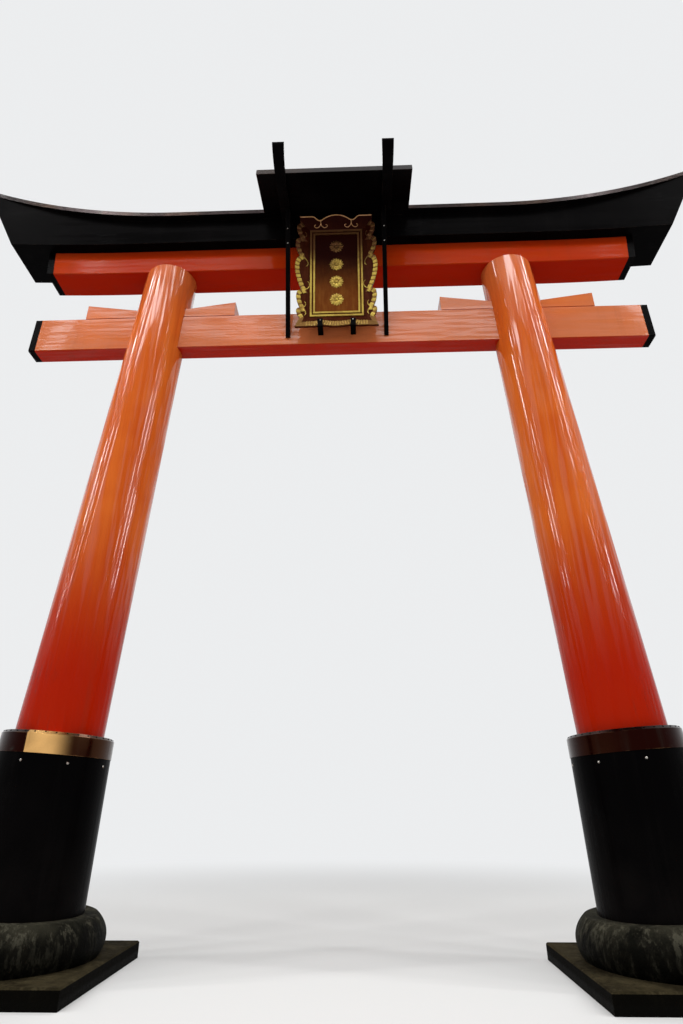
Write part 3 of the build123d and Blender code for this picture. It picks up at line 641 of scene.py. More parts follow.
def stone(name, streakiness, damp_and_shade_top, side_shade, base, dark, moss, pale):
    """Stone of four colours, streaked by rain, with painted light on top and painted shade on its sides and
    low down, where it is also damp.
    """
    maker = new_finish(name)
    worn = place_group(maker, edge_group, Width=0.014, Scale=22.0, Amount=0.6)["Mask"]
    rock = place_group(maker, stone_group, Streakiness=streakiness, Damp_top=damp_and_shade_top)
    colour = maker.layers(
        dark,
        (rock["Ground"], base),
        (rock["Grain"], dark),
        (rock["Moss"], moss),
        (rock["Crust"], pale),
        # Paler on worn edges, and on faces that look up as painted light from above.
        (maker.times(maker.most(worn, rock["Rubbed"]), 0.20), pale),
        # Painted shade: darker on the sides and near the ground.
        (maker.times(rock["Side"], side_shade), STONE_SHADE),
        (rock["Damp"], STONE_SHADE),
    )
    return close_finish(
        maker,
        Base_Color=colour,
        Roughness=maker.spread(rock["Damp"], 0.0, 1.0, 0.85, 0.60),
        Specular_IOR_Level=STONE_SHINE,
        Normal=maker.bump(rock["Relief"], 0.7, 0.010),
    )


base_granite = stone("base granite", streakiness=0.9, damp_and_shade_top=0.33, side_shade=0.25, **GRANITE)
slab_stone = stone("slab stone", streakiness=0.35, damp_and_shade_top=0.05, side_shade=0.97, **SLAB)

# %% [markdown]
# Gold leaf is laid in small squares that differ a little in tone, and it rubs thin in clouds. Plain
# noise has no squares, but a Voronoi pattern measured in Chebychev steps has cells with straight
# sides, so its random cell colour gives each leaf its tone.

# %% Group: laid leaf
made, entry = new_group("laid leaf", Squares=14.0, Rub=38.0)
place = made.place()
cells = {"Vector": place, "Scale": entry["Squares"]}
squares = made.add("ShaderNodeTexVoronoi", cells, distance="CHEBYCHEV").outputs["Color"]
cloud = made.noise(place, entry["Rub"], 5.0, 0.6)
leaf_group = close_group(
    made,
    Tone=made.add("ShaderNodeSeparateColor", {0: squares}).outputs[0],
    Rubbed=made.spread(cloud, 0.58, 0.72),
    Cloud=cloud,
)

# %% [markdown]
# The hood shades the plaque, most of all at its top. A darker lamp there would darken the lintel
# too, so the hood's shadow is painted into the finish. Its mask rises from one height to another,
# and clouds of noise make the border between them uneven.

# %% Group: painted hood shadow
made, entry = new_group("painted_hood_shadow", Bottom=4.0, Top=5.0, Uneven=0.10)
place = made.place()
cloud = made.spread(made.noise(place, 9.0, 4.0, 0.6), 0.3, 0.7, -1.0, 1.0)
level = made.plus(made.parts(place)["Z"], made.times(cloud, entry["Uneven"]))
hood_shadow_group = close_group(made, Mask=made.spread(level, entry["Bottom"], entry["Top"]))

# %% [markdown]
# The plaque is dark red-brown lacquer with gilding. A picture of wood under varnish could be mapped
# on it, but lacquer hides most of the grain, so drawn out noise gives the hint of it that shows. The
# gold leaf rubs thin and lets the brown through. It isn't fully metallic, because a metal shows what
# it mirrors, and a pale studio would bleach it. Both are darkened towards the top by the painted
# shadow of the hood.

# %% Lacquer and gold leaf
BOARD_COLOURS = ((0.044, 0.0085, 0.003), (0.072, 0.017, 0.005))
PANEL_COLOURS = ((0.145, 0.038, 0.007), (0.20, 0.065, 0.012))
LACQUER_WORN = (0.22, 0.11, 0.05)
LACQUER_IN_HOOD_SHADOW = (0.014, 0.0014, 0.0006)
LACQUER_GRAIN = (1.0, 1.0, 0.08)
LACQUER_SHINE = 0.02
BRIGHT_GOLD = (0.49, 0.355, 0.066)
ROSE_GOLD = (0.46, 0.24, 0.12)
DULL_GOLD = (0.32, 0.20, 0.048)
GAP_SHADE_GOLD = (0.13, 0.060, 0.018)
OLD_GOLD = (0.24, 0.125, 0.028)
RUBBED_GOLD = (0.20, 0.075, 0.022)
GOLD_IN_HOOD_SHADOW = (0.070, 0.020, 0.010)
GOLD_SHINE = 0.10
GILT_HOOD_SHADOW = {"Bottom": 4.60, "Top": 4.88, "Uneven": 0.08}
BOARD_HOOD_SHADOW = {"Bottom": 4.50, "Top": 5.20, "Uneven": 0.08}
PANEL_HOOD_SHADOW = {"Bottom": 4.34, "Top": 4.80, "Uneven": 0.025}


def plaque_lacquer(name, dark, light, painted_hood_shadow):
    """Lacquer between two browns, darkened by the painted hood shadow from one height to another."""
    maker = new_finish(name)
    paint = place_group(maker, paint_group, Stretch=LACQUER_GRAIN, Scale=16.0)
    worn = place_group(maker, edge_group, Width=0.003, Scale=60.0, Amount=0.4)["Mask"]
    hood_shaded = place_group(maker, hood_shadow_group, **painted_hood_shadow)["Mask"]
    grain = maker.spread(paint["Streaks"], 0.35, 0.75)
    return close_finish(
        maker,
        Base_Color=maker.layers(dark, (grain, light), (hood_shaded, LACQUER_IN_HOOD_SHADOW), (worn, LACQUER_WORN)),
        Roughness=maker.spread(paint["Tone"], 0.3, 0.7, 0.24, 0.42),
        Specular_IOR_Level=LACQUER_SHINE,
        Normal=maker.bump(paint["Ripple"], 0.2, 0.001),
    )


def gold_leaf(name, bright, hood_shadow_share=0.92):
    """Gold leaf that rubs thin and takes a share of the painted hood shadow."""
    maker = new_finish(name)
    leaf = place_group(maker, leaf_group, Squares=14.0, Rub=38.0)
    hood_shaded = maker.times(place_group(maker, hood_shadow_group, **GILT_HOOD_SHADOW)["Mask"], hood_shadow_share)
    older = (maker.times(leaf["Tone"], 0.6), OLD_GOLD)
    rubbed = (maker.times(leaf["Rubbed"], 0.7), RUBBED_GOLD)
    return close_finish(
        maker,
        Base_Color=maker.layers(bright, older, rubbed, (hood_shaded, GOLD_IN_HOOD_SHADOW)),
        Roughness=maker.spread(leaf["Cloud"], 0.3, 0.7, 0.28, 0.46),
        Metallic=maker.spread(leaf["Rubbed"], 0.0, 1.0, 0.48, 0.20),
        Specular_IOR_Level=GOLD_SHINE,
        Normal=maker.bump(leaf["Cloud"], 0.25, 0.001),
    )


# The lacquers and most gold leaf darken towards the top with the painted shadow of the hood.
board_lacquer = plaque_lacquer("board lacquer", *BOARD_COLOURS, BOARD_HOOD_SHADOW)
panel_lacquer = plaque_lacquer("panel lacquer", *PANEL_COLOURS, PANEL_HOOD_SHADOW)
gold = gold_leaf("gold leaf", BRIGHT_GOLD)
rose_gold = gold_leaf("rose gold leaf", ROSE_GOLD, hood_shadow_share=0.0)
old_gold = gold_leaf("old gold leaf", DULL_GOLD)
# Dark gold under the blocks and ribs: a painted shade that shows in the gaps between them.
gap_shade_gold = gold_leaf("gap shade gold leaf", GAP_SHADE_GOLD)

# %% [markdown]
# Each solid now gets its finish. All the pieces could be listed one by one, but the start of a
# solid's name says what it is made of, so one short list serves, and a new piece of the same kind
# needs no new line. A longer name comes before the shorter one that it starts with.

# %% Dress the solids
FINISHES = {
    "pillar": vermilion_posts,
    "centre_strut": vermilion_posts,
    "tie_beam_cap": black_beams,
    "tie_beam": vermilion_beams,
    "wedge": vermilion_beams,
    "lower_lintel_cap": black_beams,
    "lower_lintel": vermilion_lintel,
    "upper_lintel": black_beams,
    "sleeve_band_left": band_copper_and_reflection,
    "sleeve_band_right": dull_copper,
    "sleeve": sleeve_black,
    "base_stone": base_granite,
    "slab": slab_stone,
    "roof": roof_cover,
    "hood_roof": roof_cover,
    "eave_edge": strip_copper,
    "hood_edge": strip_copper,
    "hood_brace": black_posts,
    "hood_arm": black_posts,
    "plaque_border": gold,
    "plaque_hook": black_iron,
    "plaque_stay": black_iron,
    "plaque_panel": panel_lacquer,
    "plaque": board_lacquer,
}

for name, solid in nodes.items():
    solid.data.materials.clear()
    solid.data.materials.append(next(FINISHES[start] for start in FINISHES if name.startswith(start)))
print("dressed", len(nodes), "solids")

# %% [markdown]
# The plaque is a shallow tray of flat boards that leans forward, and its gilding is relief a few
# millimetres high. The gilding could be placed in the gate's own X, Y and Z, but then every point
# would have to lean too. So each board is read from its solid as a flat drawing: X runs along the
# board, Y outwards from the plaque's middle and Z up from its face. A piece is drawn flat there and
# is then laid on the board, and so it sits on the wood whatever way the board leans.

# %% Read the boards
UP = Vector((0, 0, 1))
TOUCH = 1e-5
ON_AXIS = TOUCH * 10
FLAT = 0.9999
LOOKS_AHEAD = -0.5


def laid(mesh, origin, along, out, normal):
    """Moves a mesh from a flat drawing to a place with three directions of its own."""
    axes = Matrix((along, out, normal)).transposed().to_4x4()
    mesh.transform(Matrix.Translation(origin) @ axes)
    return mesh


class Board:
    """The front face of one flat board, with the outer edge of its outline as flat points."""

    def __init__(self, name, away):
        shape = bmesh.new()
        shape.from_mesh(nodes[name].data)
        bmesh.ops.remove_doubles(shape, verts=shape.verts, dist=TOUCH)

        # The largest face that looks forward gives the board's plane and its three directions.
        ahead = [face for face in shape.faces if face.normal.y < LOOKS_AHEAD]
        self.normal = max(ahead, key=lambda face: face.calc_area()).normal.copy()
        self.out = (away - self.normal * away.dot(self.normal)).normalized()
        self.along = self.out.cross(self.normal)

        # The drawing starts at the middle of the board's inner edge.
        flat = [face for face in ahead if face.normal.dot(self.normal) > FLAT]
        corners = [vertex.co for face in flat for vertex in face.verts]
        runs = [corner.dot(self.along) for corner in corners]
        inside = min(corner.dot(self.out) for corner in corners)
        level = corners[0].dot(self.normal)
        middle = (min(runs) + max(runs)) / 2
        self.origin = self.along * middle + self.out * inside + self.normal * level

        # The rim is turned to start at the inner edge's right end and to run round the outside.
        rim = [edge for edge in shape.edges if sum(face in flat for face in edge.link_faces) == 1]
        points = [self.flattened(corner) for corner in self.walk(rim)]
        shape.free()
        inner = [i for i, point in enumerate(points) if point.y < ON_AXIS]
        start = max(inner, key=lambda i: points[i].x)
        points = points[start:] + points[:start]
        if points[1].y < ON_AXIS:
            points = points[:1] + points[:0:-1]
        self.inner_ends = (points[-1] if points[-1].y < ON_AXIS else points[0], points[0])
        self.edge = [point for point in reversed(points) if point.y >= ON_AXIS]

    def flattened(self, point):
        offset = point - self.origin
        return Vector((offset.dot(self.along), offset.dot(self.out)))

    def walk(self, edges):
        """The corners of a closed ring of edges, in order."""
        around = {}
        for edge in edges:
            first, second = edge.verts
            around.setdefault(first, []).append(second)
            around.setdefault(second, []).append(first)
        ring = [edges[0].verts[0]]
        before = None
        while True:
            onward = next(vertex for vertex in around[ring[-1]] if vertex is not before)
            if onward is ring[0]:
                return [vertex.co.copy() for vertex in ring]
            before = ring[-1]
            ring.append(onward)

    def lay(self, mesh):
        """Moves a mesh from the flat drawing onto the board."""
        return laid(mesh, self.origin, self.along, self.out, self.normal)


crest = Board("plaque_crest", UP)
rail = Board("plaque_rail", -UP)
side = Board("plaque_frame_left", Vector((-1, 0, 0)))
panel = Board("plaque_panel", UP)
for label, board in (("crest", crest), ("rail", rail), ("side", side), ("panel", panel)):
    print("the", label, "has", len(board.edge), "points on its outer edge")

# %% [markdown]
# The crest has a gilt line all along its top and a thin one along its foot. A line could be swept
# along the edge as a tube, but flat bands with true mitred ends are what the real ones are, and a
# sweep can't give those. So a band is built between two lines of points, the outer and the inner
# one. Its upper edges are drawn in a little, which catches the light.

# %% Line the crest
BAND_CHAMFER = 0.12
SINK = 0.001
CORNER_LIMIT = 0.55
MITRE_LIMIT = 0.3
GILT_LINE = 0.009
LINE_RELIEF = 0.0025
BAND_RELIEF = 0.0015
FOOT_LINE = 0.005
FOOT_GAP = 0.002
FOOT_INSET = 0.001


def inset(board, depth):
    """The board's outer edge, drawn inwards. Its ends stay on the mitres."""
    edge = board.edge
    ways = [(after - before).normalized() for before, after in zip(edge, edge[1:])]
    sides = [Vector((way.y, -way.x)) for way in ways]
    run = []
    for i, point in enumerate(edge):
        if 0 < i < len(edge) - 1:
            inwards = (sides[i - 1] + sides[i]).normalized()
            least = CORNER_LIMIT
        else:
            inwards = (board.inner_ends[1 if i else 0] - point).normalized()
            least = MITRE_LIMIT
        run.append(point + inwards * (depth / max(inwards.dot(sides[max(i - 1, 0)]), least)))
    return run


def as_mesh(shape, name):
    """Turns an edited shape into a plain mesh."""
    mesh = bpy.data.meshes.new(name)
    shape.to_mesh(mesh)
    shape.free()
    return mesh


def flat_band(outer, inner, high, low=-SINK, closed=False):
    """A band between two lines of points, from a low level to a high one."""
    shape = bmesh.new()
    rows = []
    for out, into in zip(outer, inner):
        step = (into - out) * BAND_CHAMFER
        section = ((out, low), (out + step, high), (into - step, high), (into, low))
        rows.append([shape.verts.new((*place, level)) for place, level in section])
    pairs = list(zip(rows, rows[1:]))
    if closed:
        pairs.append((rows[-1], rows[0]))
    else:
        shape.faces.new(rows[0])
        shape.faces.new(rows[-1])
    for one, other in pairs:
        for i in range(4):
            j = (i + 1) % 4
            shape.faces.new((one[i], one[j], other[j], other[i]))
    bmesh.ops.recalc_face_normals(shape, faces=shape.faces)
    return as_mesh(shape, "band")


def add_piece(name, meshes, finish):
    """Joins meshes into one piece of the gate, with one finish."""
    shape = bmesh.new()
    for mesh in meshes:
        shape.from_mesh(mesh)
    for face in shape.faces:
        face.material_index = 0
    piece = into_scene(name, as_mesh(shape, name))
    piece.data.materials.append(finish)
    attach(piece, "root")
    print(name, "has", sum(len(face.vertices) - 2 for face in piece.data.polygons), "triangles")


across = [point.x for point in crest.edge]
first_tip, last_tip = sorted((across.index(min(across)), across.index(max(across))))
top = slice(first_tip, last_tip + 1)
crest_line = flat_band(crest.edge[top], inset(crest, GILT_LINE)[top], LINE_RELIEF)
ends = [end - Vector((math.copysign(FOOT_INSET, end.x), 0.0)) for end in crest.inner_ends]
foot_edges = [[end + Vector((0.0, rise)) for end in ends] for rise in (FOOT_GAP + FOOT_LINE, FOOT_GAP)]
foot_line = flat_band(*foot_edges, BAND_RELIEF)
add_piece("crest_line", [crest.lay(crest_line)], rose_gold)
add_piece("crest_foot_line", [crest.lay(foot_line)], old_gold)

# %% [markdown]
# Carved scrolls are half-round mouldings along a curve. One could be modelled by hand, but there are
# many, and they differ only in their path. Geometry Nodes suit that: a tree gets a mesh of open
# lines, some sizes and a finish, and sweeps a section along every line. The section is an
# eight-sided round, squashed flat, with half of it sunk in the board. A share that is kept on each
# point thins the moulding there. The tree makes its copies real, because an export drops instances.

# %% Tree: moulding
SECTION_SIDES = 8


def new_tree(name, **sizes):
    """Starts a tree that takes a mesh, named sizes and a finish."""
    made = NodeMaker(bpy.data.node_groups.new(name, "GeometryNodeTree"))
    add_socket(made.tree, "Geometry", "INPUT", "Geometry")
    for label, value in sizes.items():
        add_socket(made.tree, label, "INPUT", "Float", value)
    add_socket(made.tree, "Finish", "INPUT", "Material")
    add_socket(made.tree, "Geometry", "OUTPUT", "Geometry")
    return made, made.add("NodeGroupInput").outputs


def close_tree(made, entry, geometry):
    """Makes copies real, dresses them and hands them out of the tree, which it gives back."""
    whole = made.add("GeometryNodeRealizeInstances", {"Geometry": geometry}).outputs["Geometry"]
    dressed = {"Geometry": whole, "Material": entry["Finish"]}
    made.add("NodeGroupOutput", {"Geometry": made.add("GeometryNodeSetMaterial", dressed).outputs[0]})
    print("tree:", made.tree.name, "of", len(made.tree.nodes), "nodes")
    return made.tree


def level_curve(made, mesh):
    """The lines of a mesh as curves whose upper side stays up."""
    curve = made.add("GeometryNodeMeshToCurve", {"Mesh": mesh}).outputs["Curve"]
    return made.add("GeometryNodeSetCurveNormal", {"Curve": curve}, mode="Z_UP").outputs["Curve"]


def moved(made, geometry, **how):
    """Geometry that is turned or scaled."""
    return made.add("GeometryNodeTransform", {"Geometry": geometry, **how}).outputs["Geometry"]


def kept(made, name, kind):
    """A value that the seed keeps on each of its points."""
    return made.add("GeometryNodeInputNamedAttribute", {"Name": name}, data_type=kind).outputs["Attribute"]


made, entry = new_tree("moulding", Width=0.010, Height=0.003)
circle = {"Resolution": SECTION_SIDES, "Radius": 1.0}
section = made.add("GeometryNodeCurvePrimitiveCircle", circle).outputs["Curve"]
flattened = moved(made, section, Scale=made.vector(made.times(entry["Width"], 0.5), entry["Height"], 1.0))
sweep = {
    "Curve": level_curve(made, entry["Geometry"]),
    "Profile Curve": flattened,
    "Scale": kept(made, "share", "FLOAT"),
    "Fill Caps": True,
}
moulding = close_tree(made, entry, made.add("GeometryNodeCurveToMesh", sweep).outputs["Mesh"])

# %% [markdown]
# Nail heads, tacks and the round tips of the scrolls are all low domes. Each could be placed and
# turned by hand, but they sit on leaning and tapered faces. So the seed of this tree is loose
# points, each with the way that it faces kept on it, and the tree turns a dome to look that way.

# %% Tree: nail heads
HEAD_SIDES = 10
HEAD_RINGS = 6


def copies(made, points, piece, **how):
    """One copy of a piece on each point."""
    inputs = {"Points": points, "Instance": piece, **how}
    return made.add("GeometryNodeInstanceOnPoints", inputs).outputs["Instances"]


made, entry = new_tree("nail heads", Radius=0.006, Height=0.003)
ways = {"Vector": kept(made, "facing", "FLOAT_VECTOR")}
turned = made.add("FunctionNodeAlignRotationToVector", ways, axis="Z").outputs["Rotation"]
ball = {"Segments": HEAD_SIDES, "Rings": HEAD_RINGS, "Radius": 1.0}
dome = made.add("GeometryNodeMeshUVSphere", ball).outputs["Mesh"]
smooth = made.add("GeometryNodeSetShadeSmooth", {"Geometry": dome}).outputs["Geometry"]
size = made.vector(entry["Radius"], entry["Radius"], entry["Height"])
heads = close_tree(made, entry, copies(made, entry["Geometry"], smooth, Rotation=turned, Scale=size))

# %% [markdown]
# Below each notch of the crest's top hangs a gilt stem that parts into two hooks, like an anchor.
# It could be one flat cut-out, but carving is round and thins towards its tips. So half an anchor is
# a few points, in metres from the notch, a soft curve passes through them, and the moulding runs
# along it. The notches are found where the outline turns back. A tree is run on a seed object, the
# result is taken as a plain mesh, and the seed is removed, so nothing live is left in the scene.

# %% Carve the crest
HALF_ANCHOR = (
    (0.0, 0.002),
    (0.0, -0.020),
    (0.007, -0.043),
    (0.029, -0.059),
    (0.050, -0.051),
    (0.052, -0.039),
    (0.044, -0.036),
)
TURN_BACK = 0.45
CURVE_STEPS = 7
THIN_TO = 0.55
ANCHOR_LINE = 0.0075
ANCHOR_TIP = 0.0045
RELIEF = 0.0035


def grow(tree, seed_mesh, finish, **sizes):
    """Runs a tree on a seed and gives back the plain mesh that it grows."""
    seed = into_scene("seed", seed_mesh)
    modifier = seed.modifiers.new("tree", "NODES")
    modifier.node_group = tree
    values = {"Finish": finish, **sizes}
    for item in tree.interface.items_tree:
        if item.in_out == "INPUT" and item.name in values:
            modifier[item.identifier] = values[item.name]
    grown = bpy.data.meshes.new_from_object(seed.evaluated_get(bpy.context.evaluated_depsgraph_get()))
    bpy.data.objects.remove(seed)
    return grown


def line_mesh(lines, thin_to=1.0):
    """A seed of open lines, whose thickness goes down to a share of the whole at their ends."""
    corners = []
    edges = []
    shares = []
    for line in lines:
        for i, point in enumerate(line):
            if i:
                edges.append((len(corners) - 1, len(corners)))
            corners.append(point.to_3d())
            shares.append(1.0 - (1.0 - thin_to) * i / (len(line) - 1))
    mesh = bpy.data.meshes.new("lines")
    mesh.from_pydata(corners, edges, [])
    mesh.attributes.new("share", "FLOAT", "POINT").data.foreach_set("value", shares)
    return mesh


def spot_mesh(spots):
    """A seed of loose points, given as (point, way that it faces)."""
    mesh = bpy.data.meshes.new("spots")
    mesh.from_pydata([point for point, _ in spots], [], [])
    ways = [value for _, way in spots for value in way]
    mesh.attributes.new("facing", "FLOAT_VECTOR", "POINT").data.foreach_set("vector", ways)
    return mesh


def soft_curve(points):
    """Points along a curve that passes softly through the given ones."""
    points = [point.to_3d() for point in points]
    ends = [2 * points[0] - points[1], *points, 2 * points[-1] - points[-2]]
    run = []
    for before, first, second, after in zip(ends, ends[1:], ends[2:], ends[3:]):
        # Handles a sixth as long as the way between the neighbours make the arcs join smoothly.
        leave = first + (second - before) / 6
        arrive = second - (after - first) / 6
        run += interpolate_bezier(first, leave, arrive, second, CURVE_STEPS + 1)[:-1]
    return run + [points[-1]]


def scroll_arm(start, turn, size, shape):
    """One arm of a scroll, which turns to the right for 1 and to the left for -1."""
    return soft_curve([start + Vector((x * turn, y)) * size for x, y in shape])


def notches(board):
    """The places where the outline turns back towards the plaque's middle."""
    found = []
    for before, point, after in zip(board.edge, board.edge[1:], board.edge[2:]):
        if (point - before).normalized().cross((after - point).normalized()) > TURN_BACK:
            found.append(point)
    return found


arms = [scroll_arm(notch, turn, 1.0, HALF_ANCHOR) for notch in notches(crest) for turn in (1, -1)]
anchors = grow(moulding, line_mesh(arms, THIN_TO), rose_gold, Width=ANCHOR_LINE, Height=RELIEF)
tip_seed = spot_mesh([(arm[-1], UP) for arm in arms])
anchor_tips = grow(heads, tip_seed, rose_gold, Radius=ANCHOR_TIP, Height=RELIEF)
add_piece("crest_curls", [crest.lay(anchors), crest.lay(anchor_tips)], rose_gold)

# %% [markdown]
# The rims of the plaque are carved in blocks, side by side. A block could be cut into the board, but
# a bump that small is better as a bar that lies on it. This tree walks along the lines in equal
# steps and lays an eight-sided bar across them at each, with a flat side up.

# %% Tree: ribs
RIB_SIDES = 8
FLAT_UP = math.pi / RIB_SIDES

made, entry = new_tree("ribs", Pitch=0.023, Length=0.018, Width=0.036, Height=0.003)
walk = {"Curve": level_curve(made, entry["Geometry"]), "Length": entry["Pitch"]}
spots = made.add("GeometryNodeCurveToPoints", walk, mode="LENGTH").outputs
cylinder = {"Vertices": RIB_SIDES, "Radius": 1.0, "Depth": 1.0}
bar = made.add("GeometryNodeMeshCylinder", cylinder).outputs["Mesh"]
lying = moved(made, moved(made, bar, Rotation=(0.0, 0.0, FLAT_UP)), Rotation=(0.0, math.pi / 2, 0.0))
size = made.vector(entry["Width"], entry["Height"], made.times(entry["Length"], 0.5))
rib = moved(made, lying, Scale=size)
ribs = close_tree(made, entry, copies(made, spots["Points"], rib, Rotation=spots["Rotation"]))

# %% [markdown]
# The sides carry a gilt rim that follows the scallops, with a run of carved blocks along each. At
# the flared lower corner the rim is plain. Some notches send an open scroll up, some down and one
# both ways, and they differ in size. Both sides could be carved one after the other, but the right
# one mirrors the left, so each mesh is made once and copied across. A mirror turns a mesh inside
# out, so the copy's faces are flipped.

# %% Gild the sides
RIM_WIDTH = 0.034
RIB_START = 0.014
SIDE_RIBS = {"Pitch": 0.037, "Length": 0.031, "Width": RIM_WIDTH, "Height": 0.006}
SCALLOP_STEPS = 8
SCROLL_LINE = 0.0095
SCROLL_RELIEF = 0.0045
OPEN_SCROLL = (
    (0.0, 0.0),
    (0.006, -0.028),
    (0.024, -0.052),
    (0.050, -0.065),
    (0.074, -0.061),
    (0.084, -0.048),
)
# Each scroll is given as the notch that it starts from, its size and the ways that it turns.
SCROLLS = ((1, 0.72, (1, -1)), (2, 1.0, (1,)), (3, 1.0, (-1,)), (4, 0.72, (1,)))


def point_at(line, x):
    """The point of a line at a place along the board."""
    for first, second in zip(line, line[1:]):
        if min(first.x, second.x) <= x <= max(first.x, second.x):
            return first.lerp(second, (x - first.x) / (second.x - first.x))


def mirrored(mesh):
    """A copy on the other side of the gate's middle, with its faces still outwards."""
    other = mesh.copy()
    other.transform(Matrix.Scale(-1, 4, (1, 0, 0)))
    other.flip_normals()
    return other


side_notches = notches(side)
rim_middle = inset(side, RIM_WIDTH / 2)
scallops = []
for low, high in zip(side_notches, side_notches[1:]):
    start, end = low.x + RIB_START, high.x - RIB_START
    steps = [start + (end - start) * i / SCALLOP_STEPS for i in range(SCALLOP_STEPS + 1)]
    scallops.append([point_at(rim_middle, x) for x in steps])
arms = [
    scroll_arm(side_notches[index], turn, size, OPEN_SCROLL)
    for index, size, turns in SCROLLS
    for turn in turns
]
side_ribs = grow(ribs, line_mesh(scallops), gold, **SIDE_RIBS)
# The rim's band is dark gold, a painted shade in the gaps between the blocks.
side_rim = flat_band(side.edge, inset(side, RIM_WIDTH), BAND_RELIEF)
side_scrolls = grow(moulding, line_mesh(arms, THIN_TO), gold, Width=SCROLL_LINE, Height=SCROLL_RELIEF)
for name, mesh, finish in (
    ("side_ribs", side_ribs, gold),
    ("side_rim", side_rim, gap_shade_gold),
    ("side_scrolls", side_scrolls, gold),
):
    side.lay(mesh)
    add_piece(name, [mesh, mirrored(mesh)], finish)

# %% [markdown]
# The bottom rail has the same gilding with finer, upright ribs, on a band that is mitred into the
# corners of the sides. It could be part of the sides' rim, but its board leans another way. The same
# helpers draw it: a band along the edge, and ribs along the band's middle that stop at the corners.

# %% Gild the rail
RAIL_BAND = 0.060
RAIL_CORNER = 0.060
RAIL_RIBS = {"Pitch": 0.0205, "Length": 0.0175, "Width": RAIL_BAND * 0.9, "Height": 0.005}


def trimmed(line, reach):
    """A line with both ends drawn in."""
    first = line[0] + (line[1] - line[0]).normalized() * reach
    last = line[-1] + (line[-2] - line[-1]).normalized() * reach
    return [first, *line[1:-1], last]


# The band is dark gold, a painted shade in the gaps between the ribs.
rail_band = flat_band(rail.edge, inset(rail, RAIL_BAND), BAND_RELIEF)
rail_middle = trimmed(inset(rail, RAIL_BAND / 2), RAIL_CORNER)
rail_ribs = grow(ribs, line_mesh([rail_middle]), old_gold, **RAIL_RIBS)
add_piece("rail_band", [rail.lay(rail_band)], gap_shade_gold)
add_piece("rail_ribs", [rail.lay(rail_ribs)], old_gold)

# %% [markdown]
# The border round the panel is two gilt fillets with a groove between them, and the groove lies
# dark in its own shade. The border's solid is gilt all over, and its groove could be masked in the
# finish, but a mask needs the exact place of the groove. A thin dark sheet in it, a painted shade,
# gives the same line more simply. It is a closed band between two rectangles.

# %% Line the border's groove
GROOVE_REACH = 0.020
GROOVE = 0.0128
GROOVE_FLOOR = 0.004
GROOVE_SHADE_HALF = 0.001
BORDER_SETBACK = 0.002

half_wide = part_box("plaque_border")[1].x
half_tall = panel.edge[0].y / 2
centre = Vector((0.0, half_tall))


def rectangle(reach):
    """The four corners of a ring that keeps the same distance from the panel's edge all round."""
    wide = half_wide - reach
    tall = half_tall - BORDER_SETBACK - reach
    ways = ((-1, -1), (1, -1), (1, 1), (-1, 1))
    return [centre + Vector((across * wide, up * tall)) for across, up in ways]


rings = [rectangle(GROOVE_REACH + way * GROOVE / 2) for way in (-1, 1)]
# A dark sheet in the groove: painted shade.
groove_shade = flat_band(*rings, GROOVE_FLOOR + GROOVE_SHADE_HALF, GROOVE_FLOOR - GROOVE_SHADE_HALF, closed=True)
add_piece("border_groove_shade", [panel.lay(groove_shade)], board_lacquer)

# %% [markdown]
# Four plain gilt florets stand in a column on the panel. A floret has eight domed petals, eight
# narrow leaves between them and a round boss. A whole one could be modelled at once, but petals and
# leaves both repeat round a ring. So this tree takes a single petal and sets its copies round a
# circle, each turned to look outwards, and the Turn input moves the whole ring on.

# %% Tree: ring of petals
PETALS = 8.0

made, entry = new_tree("ring of petals", Count=PETALS, Reach=0.02, Turn=0.0)
circle = {"Vertices": entry["Count"], "Radius": entry["Reach"]}
points = made.add("GeometryNodeMeshCircle", circle).outputs["Mesh"]
index = made.add("GeometryNodeInputIndex").outputs["Index"]
angle = made.math("DIVIDE", made.times(index, math.tau), entry["Count"])
ring = copies(made, points, entry["Geometry"], Rotation=made.vector(0.0, 0.0, angle))
wreath = close_tree(made, entry, moved(made, ring, Rotation=made.vector(0.0, 0.0, entry["Turn"])))

# %% [markdown]
# A carved petal is domed, creased near its heel and widest near its middle. A scaled ball would be
# too plain, so the petal is built as a small grid, with a sine for its outline and another for its
# rise. The grid's rim is then drawn down below the panel's face and closed, so that no gap shows.

# %% Build a petal
# A petal is given as its length, width, height and tip.
PETAL = (0.043, 0.034, 0.0075, 0.25)
LEAF = (0.046, 0.014, 0.004, 0.0)
PETAL_STEPS = 6
PETAL_LANES = 4
HEEL = 0.12
TIP_RISE = 0.97
OUTLINE_POWER = 0.75
CREASE = 0.35
CREASE_SHARPNESS = 3.2
PETAL_LIFT = 0.0006


